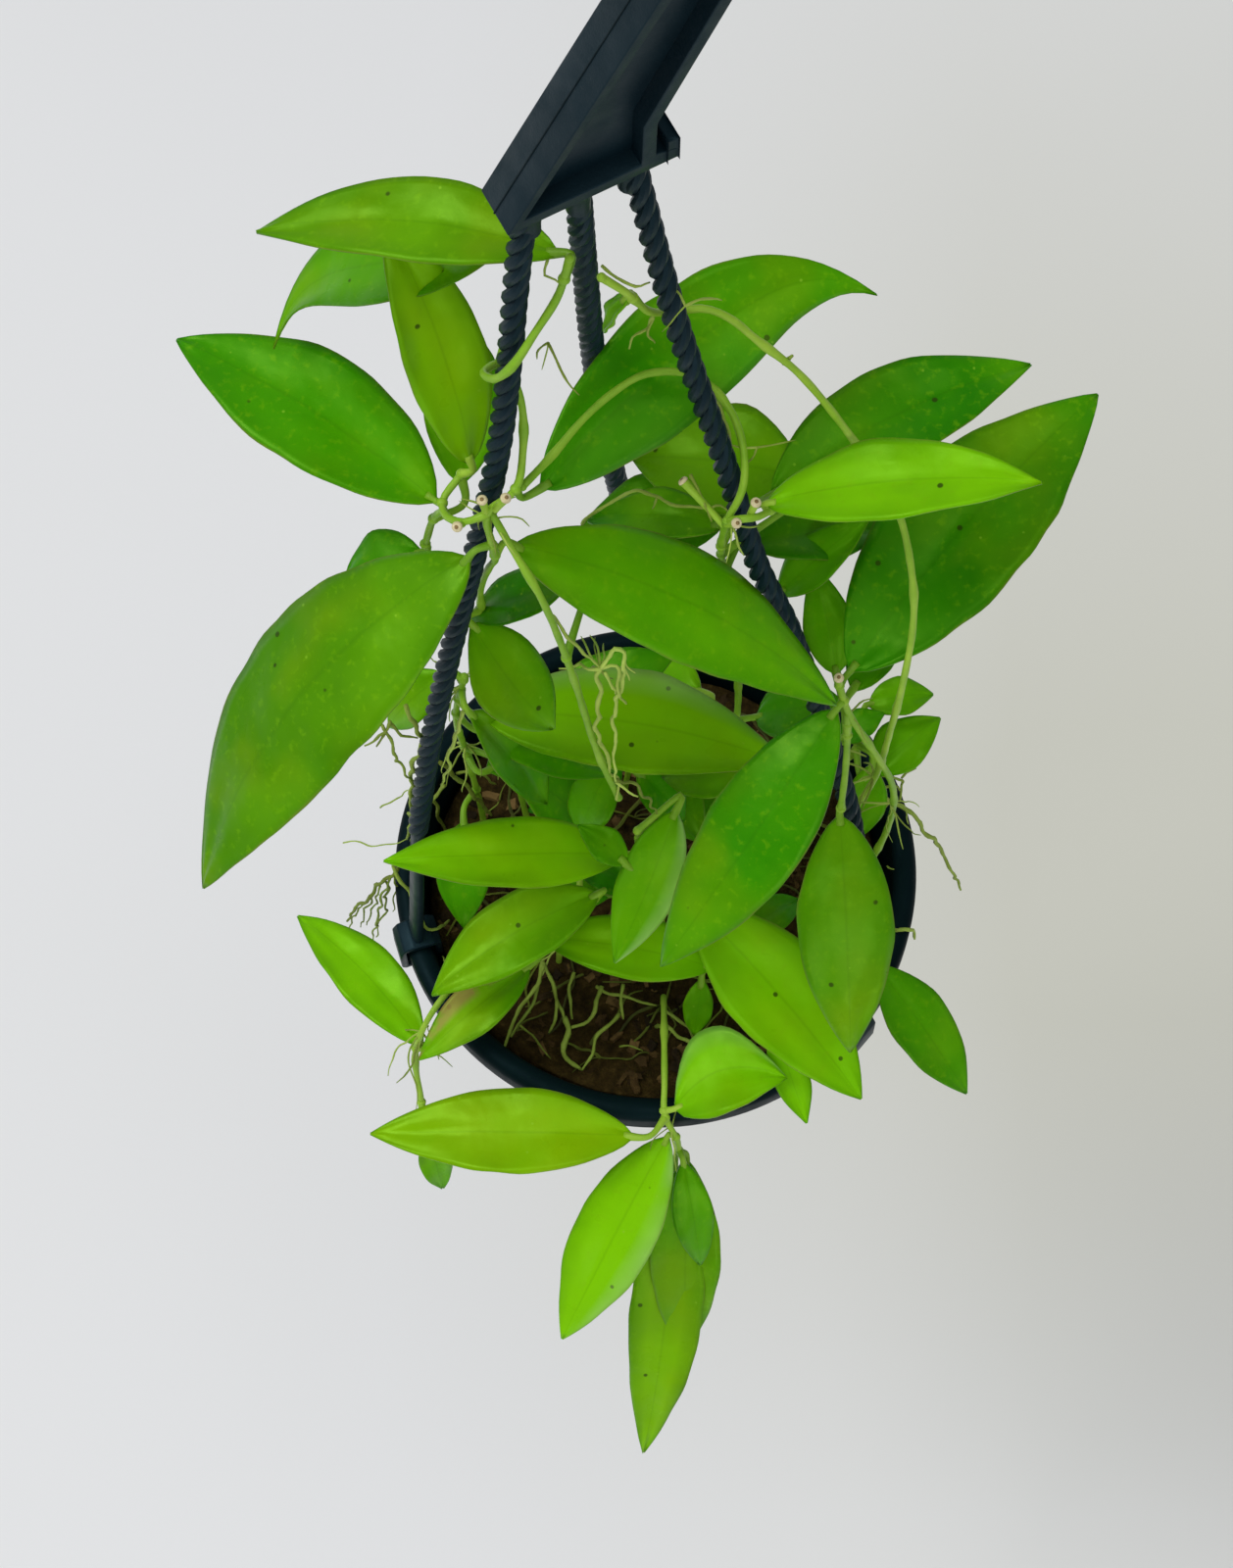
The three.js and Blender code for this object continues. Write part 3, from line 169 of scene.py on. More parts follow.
# Every shoot, from the growing mix outwards. A stem is a route, a leaf is placed as leaf() says, and
# an old flower stub runs from its start to its end. tone goes from 0, deep green, to 1, lime.
SHOOTS = {
    "left_climber": {
        "slot": "foliage_dark",
        "stems": [
            [(-34, 14, 85), (-34, 14, 98), (-37, 14, 150), (-38, 14, 200), (-40, 9.5, 238),
                (-41, 7.5, 262), (-41, 6, 284), (-38.6, 4.2, 300), (-36.8, 1.2, 312),
                (-37.2, -0.6, 325), (-37.5, 0.5, 338), (-31.5, 3, 344), (-30, 8.6, 350),
                (-30.2, 13.6, 365), (-33.5, 16.8, 374), (-37.2, 11.5, 381), (-34.5, 6.6, 388),
                (-31, 6.3, 394), (-26.5, 10.5, 400), (-21.8, 14.6, 408), (-19.5, 17.3, 418)],
            [(-37.5, 0.5, 337), (-42.5, -0.5, 335), (-47, 3.5, 330), (-47.5, 8, 328),
                (-43.5, 12.5, 331)],
            [(-47.2, 5, 329), (-50, 8, 318), (-52.5, 8.2, 304)],
            [(-37, 1, 337), (-33, -3, 328), (-27, -10, 318), (-21, -13, 285), (-15, -17, 242),
                (-10, -19, 216)],
        ],
        "leaves": [
            leaf((-42, -3, 322), (-104, -55, 255), 38, 0.05, bow=7, sweep=-7, roll=10, fold=-0.1,
                 warm=0.22),
            leaf((-49, 8, 327), (-106, 46, 328), 27, 0.28, bow=4, sweep=-1),
            leaf((-41.5, 13, 335), (-58, 43, 390), 18, 1, sweep=-2, warm=0.3),
            leaf((-44, 16, 318), (-50, 55, 330), 18, 0.6, sweep=-3),
            leaf((-53.5, 8.1, 300), (-71, 7, 289), 14, 0.35),
            leaf((-21.6, 22, 411), (-82, 35, 396), 19, 0.22, bow=3, sweep=-3, warm=0.3),
            leaf((-30.5, 38.5, 388), (-83.7, 37.9, 340), 21, 0.55, sweep=-2.5, crook=-7.5),
            leaf((-26.6, 6.6, 336.5), (45, 48.2, 344.5), 26, 0.24, bow=1.5, sweep=7, crook=6, roll=23,
                 sheen=-0.5),
            leaf((-33, 3, 315), (39, -18, 274), 27, 0.56, bow=5, sweep=4, fold=-0.08),
            leaf((-20, 7, 288), (-44.5, 6.3, 266), 13, 0.15, bow=1),
            leaf((-43.4, 3.2, 270.8), (-25, -13, 246), 19, 0.6, sweep=-2),
        ],
        "stubs": [
            [(-38, 0.5, 338), (-38.5, -0.5, 346)],
            [(-36, 0.5, 339), (-33.5, -0.5, 347)],
            [(-43, -0.5, 334), (-44, -3, 338)],
        ],
    },
    "right_climber": {
        "slot": "foliage_dark",
        "stems": [
            [(19, 17, 85), (19, 17, 98), (19, 13, 160), (19, 9, 215), (16, 9, 255), (13, 11, 290),
                (12.5, 6, 313), (13, 3, 328)],
            [(13, 3, 328), (16, 6.9, 334), (16.6, 10.5, 338.5), (15.8, 14.8, 343), (13.4, 19.4, 347.5),
                (9.8, 22.9, 350.5), (5.3, 25.6, 351.5), (0.8, 26.5, 351.5), (-5.2, 26.1, 350.5),
                (-11.9, 22.5, 348.5), (-18.1, 17.4, 346), (-23.9, 11.3, 343), (-30.2, 4.2, 342.5)],
            [(13, 3, 328), (16, 2.2, 330.5), (20, 3.5, 329), (23.5, 8, 325), (23.5, 12, 319)],
        ],
        "leaves": [
            leaf((21.3, 6.7, 328.3), (78, 3, 347), 19, 0.95, sweep=2),
            leaf((23, 15, 314), (81, 47, 314), 23, 0.08, sweep=3),
            leaf((31, 28, 296), (-7, 36, 289), 28, 0.5, bow=3, warm=0.25),
            leaf((15, 25, 281), (-19, 26, 272), 22, 0.45, bow=3),
            leaf((13, 13.5, 301.5), (-17, 20.5, 289), 13, 0.1, sweep=-1),
            leaf((20, 20, 276), (53, 31, 262), 15, 0.12),
            leaf((27, 14, 262), (47, 26, 278), 12, 0.6),
            leaf((24, 11, 192), (46, 9, 205), 16, 0.35),
            leaf((22, 6, 164), (1, 8, 158), 15, 0.5),
            leaf((20, 16, 150), (6, 24, 138), 13, 0.1, bow=1.5),
            leaf((22, 10, 128), (36, 20, 120), 12, 0.15, bow=1.5),
        ],
        "stubs": [
            [(13, 3, 326), (15, 1, 331)],
            [(18, 4, 329), (19, 4, 335)],
            [(12.6, 4, 323), (3.7, 11.3, 330)],
        ],
    },
    "top_runner": {
        "slot": "foliage_bright",
        "stems": [
            [(43, 1, 85), (43, 1, 97), (49, -1, 150), (53.5, -4, 190), (54, -9, 235), (55, -8, 262),
                (56, -2, 282), (55, 3, 296), (51, 12, 312), (46, 17, 320), (40, 19, 334), (27, 22, 360),
                (18, 24, 371), (12.5, 25.4, 377.5), (7.5, 26.3, 380), (1, 26, 379.5), (-3.8, 22, 387),
                (-6.8, 19.9, 396), (-9, 17.6, 404), (-13.4, 18.5, 408)],
        ],
        "leaves": [
            leaf((-8, 20, 398), (-13, 19, 384), 5, 0.8, bow=1),
        ],
    },
    "right_shoots": {
        "slot": "foliage_dark",
        "stems": [
            [(51, -7, 85), (51, -7, 98), (58, -9, 165), (56.5, -12, 205), (50, -13, 232),
                (43, -11, 252), (40, -8, 264)],
            [(43, -11, 252), (44, -14, 225), (44, -17, 203)],
        ],
        "leaves": [
            leaf((43, -5, 262), (101, 59, 275), 34, 0.15, bow=3, sweep=2),
            leaf((40, -12, 256), (0, -60, 212), 25, 0.22, bow=4, sweep=1.5, fold=-0.08),
            leaf((44, -17, 198), (48, -65, 156), 24, 0.5, bow=4, fold=-0.1, warm=0.1),
            leaf((41, 1, 245), (35.5, 23, 258), 12, 0.55),
            leaf((45, -1, 240), (55, 17, 237), 11, 0.5, bow=1),
        ],
        "stubs": [
            [(40.5, -8.5, 262), (40, -9, 268)],
        ],
    },
    "inner_left_shoots": {
        "slot": "foliage_dark",
        "stems": [
            [(-47, 19, 85), (-47, 19, 98), (-49, 16, 150), (-50, 9, 200), (-47, 9, 224)],
        ],
        "leaves": [
            leaf((-43, 5, 209), (31, -8, 209), 27, 1, bow=3, sweep=3, warm=0.15, sheen=0.8),
            leaf((-52, 10, 223), (-66, 3, 206), 13, 0.6),
            leaf((-46, 3, 216), (-28, -5, 173), 15, 0.4, fold=0.3),
            leaf((-43, 4, 200), (-11, -2, 186), 14, 0.46),
            leaf((-36, 8, 162), (-15, -1, 140), 18, 0.2),
            leaf((-51, 9, 121), (-51, -18, 112), 15, 0.35),
            leaf((-44, 12, 152), (-27, 20, 144), 13, 0.12, bow=1.5),
        ],
    },
    "centre_shoots": {
        "slot": "foliage_bright",
        "stems": [
            [(2, -20, 85), (2, -20, 97), (0, -19, 140), (-4, -18, 170), (-5.2, -16.3, 184.6)],
        ],
        "leaves": [
            leaf((-8, -18, 172), (-68, -24, 184), 19, 0.96),
            leaf((4.2, -11.4, 186.3), (-11, -46, 170), 15.7, 0.62, sweep=1, sheen=1),
            leaf((-8, -24, 182), (-20, -16, 188), 9, 0.3, bow=1),
            leaf((14.4, -37.8, 140), (-31, -29, 137), 17.6, 0.95, sweep=-1),
            leaf((-12, -12, 122), (-33, -10, 117), 10, 0.2, bow=1),
            leaf((6, -15, 124), (24, -24, 116), 12, 0.2, bow=1.5),
            leaf((-2, -13, 128), (-22, -2, 121), 12, 0.1, bow=1.5),
        ],
    },
    "left_shoots": {
        "slot": "foliage_bright",
        "stems": [
            [(-26, -22, 85), (-26, -22, 97), (-24, -23, 122), (-16, -21, 146)],
        ],
        "leaves": [
            leaf((-15, -21, 150), (-58, -44, 136), 20, 0.7, sweep=-2, warm=0.15),
            leaf((-33, -32, 124), (-62, -56, 118), 14, 0.65, scab=-0.8),
            leaf((-21.8, -4.9, 134), (-26.5, -14, 124), 5, 1, bow=1.5, warm=1),
        ],
    },
    "front_right_shoots": {
        "slot": "foliage_bright",
        "stems": [
            [(20, -32, 85), (20, -32, 97), (17, -31, 125), (11, -27, 147)],
        ],
        "leaves": [
            leaf((10, -25, 150), (52, -71, 134), 27, 1, sweep=1),
            leaf((30, -49, 124), (39, -72, 114), 10, 1, bow=1),
            leaf((12, -35, 121), (10, -46, 107), 8, 0.65, bow=1),
            leaf((22, -24, 126), (38, -12, 118), 11, 0.25, bow=1.5),
        ],
    },
    "right_edge_shoot": {
        "slot": "foliage_bright",
        "stems": [
            [(50, -26, 85), (50, -26, 97), (53, -28, 110), (57, -30, 117)],
        ],
        "leaves": [
            leaf((58, -30, 117), (83, -58, 92), 17, 0.42),
        ],
    },
    "front_trailer": {
        "slot": "foliage_bright",
        "stems": [
            [(2, -35, 85), (2, -35, 105), (2, -49, 115), (2, -62, 117), (2, -70, 115), (5, -74, 108),
                (6, -75, 96)],
        ],
        "leaves": [
            leaf((4.6, -68.6, 116), (33.5, -62.5, 124), 24, 1, sweep=6, sheen=0.8),
            leaf((-6, -76, 116), (-75, -73, 107), 23, 0.95, bow=3, warm=0.45),
            leaf((3, -74, 108), (-25, -120, 72), 22, 1, bow=3, warm=0.1, sheen=0.9),
            leaf((5, -77, 86), (-3, -140, 14), 20, 0.85, bow=3, sweep=2, warm=0.3),
            leaf((8, -76, 92), (8, -117, 40), 19, 0.65, bow=3),
            leaf((7, -78, 98), (12, -100, 72), 11, 0.55, bow=3),
        ],
    },
    "outer_left_trailer": {
        "slot": "foliage_bright",
        "stems": [
            [(-46, -25, 85), (-46, -25, 104), (-51, -32, 114), (-57, -40, 117), (-61.5, -46, 112),
                (-64, -50, 100), (-63, -58, 84)],
        ],
        "leaves": [
            leaf((-62, -48, 104), (-97, -8.6, 94), 17, 0.9, sweep=-2),
            leaf((-62, -64, 80), (-58, -76, 60), 9, 0.65),
        ],
    },
    "back_right_shoots": {
        "slot": "foliage_bright",
        "stems": [
            [(42, 26, 85), (42, 26, 97), (46, 24, 125), (52, 21, 142), (54, 28, 152)],
        ],
        "leaves": [
            leaf((55, 30, 152), (72, 33, 152), 11, 0.62),
            leaf((56, 15, 142), (74, 28, 148), 14, 0.58),
            leaf((48, 22, 148), (59, 27, 154), 9, 0.35),
            leaf((56, 16, 145), (54, 3, 126), 11, 0.58, bow=1),
        ],
    },
    "back_shoots": {
        "slot": "foliage_dark",
        "stems": [
            [(-8, 28, 85), (-8, 28, 97), (-6, 24, 140), (-8, 19, 180)],
        ],
        "leaves": [
            leaf((-12, 7, 168), (-20, -5, 150), 13, 0.55),
            leaf((-27, 14, 185), (4, 26, 196), 17, 0.3),
            leaf((-5, 11, 153), (7, 1, 143), 12, 0.2),
            leaf((11, 27, 168), (-6, 39, 158), 13, 0.72),
            leaf((-11, 18, 150), (-19, 3, 142), 12, 0.15, bow=1.5),
            leaf((-3, 15, 148), (12, -3, 138), 14, 0.1, bow=1.5),
            leaf((2, 20, 132), (22, 8, 124), 13, 0.12, bow=1.5),
            leaf((-14, 20, 128), (-34, 12, 120), 13, 0.1, bow=1.5),
        ],
    },
}

# Aerial and surface roots of each shoot, as a radius, a tone from dark to pale, and a route. Most
# routes were traced on the photograph and turned into millimetres through its fitted camera.
AERIAL_ROOTS = {
    "left_climber": [
        (0.42, 0.75, [(-24.4, -9.7, 306), (-22.3, -10.9, 300), (-20.2, -12, 296), (-17.7, -12.6, 290),
            (-15.1, -12.6, 285), (-14, -13.2, 284)]),
        (0.4, 0.8, [(-14, -13.2, 284), (-16.8, -13.2, 283), (-18.6, -12.1, 282), (-20.4, -12.4, 281),
            (-23.4, -11.6, 280)]),
        (0.55, 0.8, [(-14, -13.2, 284), (-15.1, -13.9, 280), (-14.3, -14.4, 273), (-14.7, -15.5, 266),
            (-15, -16.1, 259), (-14.8, -16.8, 252), (-15, -17.3, 247), (-13.5, -17.3, 242),
            (-12.6, -18, 236), (-11.7, -18.2, 230), (-10.5, -18.7, 226), (-10.5, -20.3, 218)]),
        (0.5, 0.95, [(-14, -13.2, 284), (-12.5, -12.5, 288), (-11.1, -11.8, 291), (-9, -12.3, 290),
            (-8.8, -13, 287), (-9.6, -14.4, 280), (-10.1, -15.2, 275), (-10.5, -15.3, 268),
            (-10.7, -15.9, 256), (-11.2, -17.1, 244), (-11.2, -18.5, 232), (-10.7, -18.8, 227)]),
        (0.45, 0.8, [(-14, -13.2, 284), (-11.2, -13.5, 286), (-10.3, -13.7, 283), (-9.8, -14.7, 276),
            (-9.2, -15, 272), (-8.3, -15.3, 268)]),
        (0.4, 0.85, [(-13.1, -13.7, 283), (-11.6, -14.1, 277), (-10.5, -14.6, 271)]),
        (0.28, 0.9, [(-8.8, -12.5, 287), (-7.7, -12.8, 283), (-6.3, -13.1, 281)]),
        (0.28, 0.9, [(-8.8, -13.1, 285), (-8.1, -13.4, 281), (-7.6, -13.6, 278)]),
        (0.36, 1, [(-10.7, -18.7, 226), (-7.9, -20.5, 224), (-5.4, -21.3, 223)]),
        (0.4, 0.45, [(-10.7, -18.6, 227), (-7, -17.7, 222), (-3.7, -16.1, 212), (-1.7, -15.2, 200),
            (-0.6, -13.7, 190)]),
        (0.3, 0.8, [(-23.8, 22, 409), (-24.5, 21.1, 404), (-22.8, 20.4, 404), (-21.6, 19.7, 403)]),
    ],
    "top_runner": [
        (0.35, 0.7, [(-13.4, 22.7, 405), (-9.7, 19.9, 405), (-6.5, 18.7, 404), (-4, 20.6, 402)]),
        (0.32, 0.75, [(-3, 22.7, 384), (-4.8, 22.6, 380), (-6.3, 22.6, 377), (-7.9, 21.9, 371)]),
        (0.28, 0.7, [(-3, 22.7, 384), (-3.6, 22.2, 379), (-2.7, 22.2, 373)]),
        (0.62, 0.6, [(24.1, 23.6, 361), (24.9, 23.7, 363), (25.6, 23.3, 365)]),
    ],
    "right_climber": [
        (0.5, 0.7, [(10, 22.3, 349), (11.1, 20.7, 348), (12.3, 19, 346), (13.2, 16.8, 343),
            (13.7, 14.1, 340)]),
        (0.42, 0.6, [(-18.1, 14.7, 300), (-17.2, 15, 303), (-15.5, 15.3, 306), (-12.4, 15.4, 309),
            (-10.3, 15.6, 311), (-8.1, 16.1, 313), (-5.2, 16.1, 315), (-2.6, 14.7, 316),
            (-0.9, 13.3, 317), (1.2, 11.9, 318), (4.5, 11.5, 319), (7.1, 11, 320), (10, 10.6, 321),
            (12.5, 9.2, 322), (13.9, 7.3, 322)]),
        (0.26, 0.6, [(-1.8, 13.3, 317), (-2.2, 12.8, 315), (-2.6, 12.6, 313)]),
        (0.42, 0.5, [(5.2, 12.9, 330), (7.3, 8.7, 328), (9.9, 4.6, 324)]),
    ],
    "inner_left_shoots": [
        (0.62, 0.6, [(-60.2, -3.2, 236), (-59.4, -4.1, 232), (-57.9, -4.8, 226), (-57.1, -5.7, 218),
            (-59, -6.5, 208), (-61, -6.6, 196), (-61.8, -7, 186), (-61.9, -7.4, 174), (-63.2, -8, 164),
            (-64.1, -8.3, 156)]),
        (0.45, 0.55, [(-65.9, -6.6, 232), (-64.8, -7.3, 226), (-63.9, -7.7, 218), (-62.7, -7.3, 206),
            (-61, -7.1, 196)]),
        (0.42, 0.5, [(-64, -6, 233), (-65.4, -7.4, 229), (-68.1, -8.3, 226), (-70.5, -8.8, 224)]),
        (0.34, 0.5, [(-65.4, -7.4, 229), (-66.7, -8.3, 226), (-67.7, -9, 224)]),
        (0.4, 0.5, [(-64, -6.1, 232), (-61.5, -7.1, 228), (-57.9, -6.8, 224)]),
        (0.24, 0.7, [(-70.1, -4.9, 170), (-66.3, -5, 176), (-62.4, -5.3, 184)]),
        (0.22, 0.7, [(-81.1, -5.9, 146), (-75.8, -6.7, 150), (-67.5, -8.7, 154), (-64.1, -8.3, 156)]),
        (0.5, 0.9, [(-46.8, -3.9, 234), (-48.1, -4.8, 226), (-49.6, -5.5, 216), (-51.3, -6.4, 205),
            (-52.6, -7, 197), (-53.7, -7.3, 193)]),
        (0.62, 0.35, [(-56.2, 14.8, 150), (-54.2, 14.7, 143), (-50.5, 14.6, 133), (-47.8, 14.5, 124),
            (-45.5, 14.8, 114), (-44.4, 16, 106)]),
        (0.5, 0.3, [(-59.7, 14.5, 124), (-58.6, 13.4, 115), (-57.9, 13.2, 106), (-57.2, 13.3, 95.5)]),
        (0.5, 0.5, [(-55.2, 10.6, 144.2), (-57.9, 9.5, 140), (-61.2, 8.2, 134), (-63.7, 6.3, 124),
            (-65.3, 4.5, 118)]),
        (0.48, 0.45, [(-54, 28.9, 104), (-50.1, 28.1, 107), (-46.5, 28.1, 104), (-43.5, 27.7, 99)]),
    ],
    "outer_left_trailer": [
        (0.55, 0.6, [(-69.5, -3.9, 128), (-68.8, -4.9, 123), (-66.4, -8.2, 118), (-63.9, -12.1, 115),
            (-62.8, -16, 113.5), (-61.2, -18.6, 113), (-58.6, -18.8, 113), (-56.8, -16.2, 109),
            (-55.5, -12.8, 103)]),
        (0.55, 0.4, [(-68.4, -3.9, 120), (-70.7, -5.3, 116), (-73.7, -4.9, 110), (-77.6, -4.8, 98),
            (-82.3, -3.5, 84), (-85.2, -2.9, 72)]),
        (0.36, 0.5, [(-70.7, -5.3, 116), (-73.7, -6.5, 100), (-76.3, -6.9, 84), (-78.5, -6.7, 66)]),
        (0.34, 0.5, [(-72, -5, 112), (-72.3, -4.8, 98), (-74.4, -5.2, 84), (-77.4, -5.6, 66)]),
        (0.3, 0.45, [(-76.3, -5, 102), (-79.4, -4.1, 86), (-81.7, -3.3, 68)]),
        (0.28, 0.5, [(-79.6, -4.4, 92), (-83.3, -3.1, 76), (-85.4, -2.5, 62)]),
        (0.3, 0.5, [(-73.8, -4.8, 108), (-77, -4.3, 90), (-79.9, -3.4, 70)]),
        (0.26, 0.5, [(-69.6, -4.3, 118), (-69.7, -5.2, 106), (-71.4, -6, 90)]),
    ],
    "right_shoots": [
        (0.62, 0.6, [(58.6, 18.4, 124), (59.8, 17.3, 121), (62.1, 16.5, 118), (65.5, 15.8, 114.5),
            (68.7, 13.7, 112.5), (71.8, 12.7, 106), (75.1, 11.8, 98), (77.8, 11.7, 91), (80.9, 11, 80),
            (83.8, 10.6, 71), (86.3, 9.9, 61)]),
        (0.42, 0.6, [(60.2, 20.7, 124), (62.8, 20.6, 125), (65.5, 20.5, 123), (66.3, 19.2, 119),
            (65.5, 16.9, 114.5)]),
        (0.38, 0.55, [(60.4, 18.4, 121), (63.5, 18.7, 121), (65.8, 18.4, 118)]),
        (0.34, 0.6, [(65.5, 20.5, 123), (67.1, 21.8, 124), (69.4, 22.9, 124)]),
        (0.6, 0.75, [(59.7, -14.2, 103), (62.2, -16.4, 109), (64.7, -17.9, 112.6), (67.6, -18.1, 112.4),
            (69.3, -18.4, 104)]),
        (0.28, 0.6, [(62, 0.1, 110), (63.6, -1.6, 112.5)]),
        (0.5, 0.5, [(62.3, 16.2, 115), (59.8, 14.6, 113), (57.4, 13.6, 108), (56.5, 13.5, 102)]),
        (0.36, 0.6, [(48.8, 18.6, 150), (51.3, 17.8, 150), (54.4, 16.8, 149)]),
    ],
    "centre_shoots": [
        (0.58, 0.5, [(-30.1, -25.7, 108), (-31.1, -30.5, 106), (-34.3, -35.2, 103.5),
            (-36.8, -40.5, 103), (-38.8, -45.1, 104), (-40.8, -51.9, 105)]),
        (0.52, 0.5, [(-29.8, -26.8, 108), (-31.4, -30.5, 104), (-33.5, -35.3, 102), (-36.4, -40.4, 101),
            (-38.6, -45.1, 102)]),
        (0.55, 0.5, [(-30.1, -26.2, 108), (-27.5, -30.2, 105), (-26.4, -35.1, 103), (-24.3, -39.4, 103),
            (-23.8, -42.8, 103.5)]),
        (0.8, 0.54, [(-24.3, -40, 103), (-23.8, -42.8, 103.5), (-24.8, -47.9, 102.5),
            (-23.3, -50.7, 101), (-19.6, -53.4, 99)]),
        (0.62, 0.54, [(-14.4, -31.9, 105), (-16, -37, 104), (-17, -39.6, 103.5), (-20.1, -42.1, 103),
            (-23.3, -43.2, 103)]),
        (0.5, 0.48, [(-21.8, -27.1, 102), (-23.3, -31.7, 101), (-23.3, -35.9, 100.5),
            (-22.3, -39.6, 100)]),
        (0.5, 0.5, [(-26.4, -35.4, 104), (-26.9, -40.5, 103), (-28.5, -43.7, 101)]),
        (0.55, 0.54, [(-9.7, -38.6, 102), (-12.8, -42.4, 102), (-16, -45.6, 102), (-17, -49.8, 101.5),
            (-19.6, -53.7, 100)]),
        (0.5, 0.5, [(-16, -31.9, 105), (-12.8, -33.7, 104), (-9.2, -34.7, 103.5), (-4.5, -35.6, 103),
            (0.2, -36.7, 103)]),
        (0.5, 0.54, [(-8.7, -31.3, 105), (-9.5, -35.2, 103.5), (-8.7, -40.1, 101.5)]),
        (0.34, 0.4, [(-36.3, -41.8, 102), (-32.1, -45.7, 100.5), (-28, -50.2, 99)]),
        (0.5, 0.6, [(2.4, -36.9, 106), (2.8, -38.6, 104), (7.5, -42, 102.5), (10.4, -44.6, 97)]),
        (0.6, 0.6, [(0, -40.9, 97), (2.8, -43, 104), (6.9, -45.8, 102.5), (11.1, -49.1, 101),
            (13.1, -51.1, 97)]),
        (0.3, 0.45, [(-9.7, -46.8, 98.5), (-6.6, -46.9, 99), (-3.5, -47.9, 98.5)]),
    ],
}

# Tufts of fine aerial roots on each shoot, as a middle, how many and how long
TUFTS = {
    "left_climber": [((-37, 1, 333), 7, 12), ((-14, -13, 284), 6, 10), ((-24, 12, 393), 3, 12)],
    "right_climber": [((14, 3, 327), 4, 9), ((19, 13, 343), 3, 9)],
    "top_runner": [((3, 17, 399), 3, 12), ((46, 17, 320), 2, 8), ((53, -4, 190), 6, 16)],
    "right_shoots": [((57, -11, 190), 7, 20), ((43, -11, 250), 3, 8)],
    "inner_left_shoots": [((-49, 14, 165), 8, 22), ((-48, 9, 218), 7, 18)],
    "outer_left_trailer": [((-62, -46, 110), 9, 24), ((-51, -32, 113), 6, 18)],
    "front_trailer": [((4, -72, 112), 4, 16)],
    "centre_shoots": [((2, -20, 110), 6, 16)],
    "left_shoots": [((-26, -22, 108), 7, 18)],
    "front_right_shoots": [((20, -32, 108), 6, 14)],
}

# Small meshes


def closed(bm, gap=1e-4):
    """Joins corners that meet, fills what is open and turns the faces outwards."""
    bmesh.ops.remove_doubles(bm, verts=bm.verts, dist=gap)
    bmesh.ops.holes_fill(bm, edges=[e for e in bm.edges if e.is_boundary], sides=0)
    bmesh.ops.recalc_face_normals(bm, faces=bm.faces)
    return bm


def spun(outline, steps):
    """A skin spun about the pot's axis from an outline of radii and heights."""
    bm = bmesh.new()
    verts = [bm.verts.new((radius, 0, height)) for radius, height in outline]
    edges = [bm.edges.new(pair) for pair in zip(verts, verts[1:])]
    bmesh.ops.spin(
        bm, geom=[*verts, *edges], cent=(0, 0, 0), axis=(0, 0, 1), angle=2 * math.pi,
        steps=steps, use_merge=True,
    )
    bmesh.ops.remove_doubles(bm, verts=bm.verts, dist=SPIN_GAP)
    return bm


def thicken(bm, shift):
    """Makes a flat mesh solid by the given shift."""
    grown = bmesh.ops.extrude_face_region(bm, geom=bm.faces[:])["geom"]
    moved = [g for g in grown if isinstance(g, bmesh.types.BMVert)]
    bmesh.ops.translate(bm, vec=shift, verts=moved)
    bmesh.ops.recalc_face_normals(bm, faces=bm.faces)


def round_edges(bm, edges, radius):
    bmesh.ops.bevel(
        bm, geom=edges, offset=radius, segments=3, profile=0.5, affect="EDGES", material=-1,
        clamp_overlap=True,
    )


def mesh_of(name, bm):
    """A mesh with the content of a small mesh, which is freed."""
    mesh = bpy.data.meshes.new(name)
    bm.to_mesh(mesh)
    bm.free()
    return mesh


def in_scene(name, data):
    """A new object in the scene, with the given mesh, lamp or camera."""
    made = bpy.data.objects.new(name, data)
    bpy.context.scene.collection.objects.link(made)
    return made


# Routes and tubes


def around(side, other, angle):
    """The direction at an angle from one side towards the other."""
    return side * math.cos(angle) + other * math.sin(angle)


def smooth_route(points, step):
    """Points along a smooth curve through the given points, evenly spaced by about step."""
    places = [Vector(p) for p in points]
    if len(places) == 2:
        count = max(1, round((places[1] - places[0]).length / step))
        return [places[0].lerp(places[1], k / count) for k in range(count + 1)]
    ends = [2 * places[0] - places[1], *places, 2 * places[-1] - places[-2]]
    fine = []
    for k in range(1, len(ends) - 2):
        a, b, c, d = ends[k - 1:k + 3]
        times = [0.0]
        for p, q in ((a, b), (b, c), (c, d)):
            times.append(times[-1] + max(1e-6, (q - p).length) ** 0.5)
        parts = max(4, round((c - b).length / (step * 0.5)))
        for i in range(parts):
            t = times[1] + (times[2] - times[1]) * i / parts
            p1 = a.lerp(b, (t - times[0]) / (times[1] - times[0]))
            p2 = b.lerp(c, (t - times[1]) / (times[2] - times[1]))
            p3 = c.lerp(d, (t - times[2]) / (times[3] - times[2]))
            q1 = p1.lerp(p2, (t - times[0]) / (times[2] - times[0]))
            q2 = p2.lerp(p3, (t - times[1]) / (times[3] - times[1]))
            fine.append(q1.lerp(q2, (t - times[1]) / (times[2] - times[1])))
    fine.append(places[-1])
    lengths = [0.0]
    for p, q in zip(fine, fine[1:]):
        lengths.append(lengths[-1] + (q - p).length)
    count = max(2, round(lengths[-1] / step))
    route = []
    k = 0
    for i in range(count + 1):
        wanted = lengths[-1] * i / count
        while k < len(fine) - 2 and lengths[k + 1] < wanted:
            k += 1
        share = (wanted - lengths[k]) / max(1e-9, lengths[k + 1] - lengths[k])
        route.append(fine[k].lerp(fine[k + 1], share))
    return route


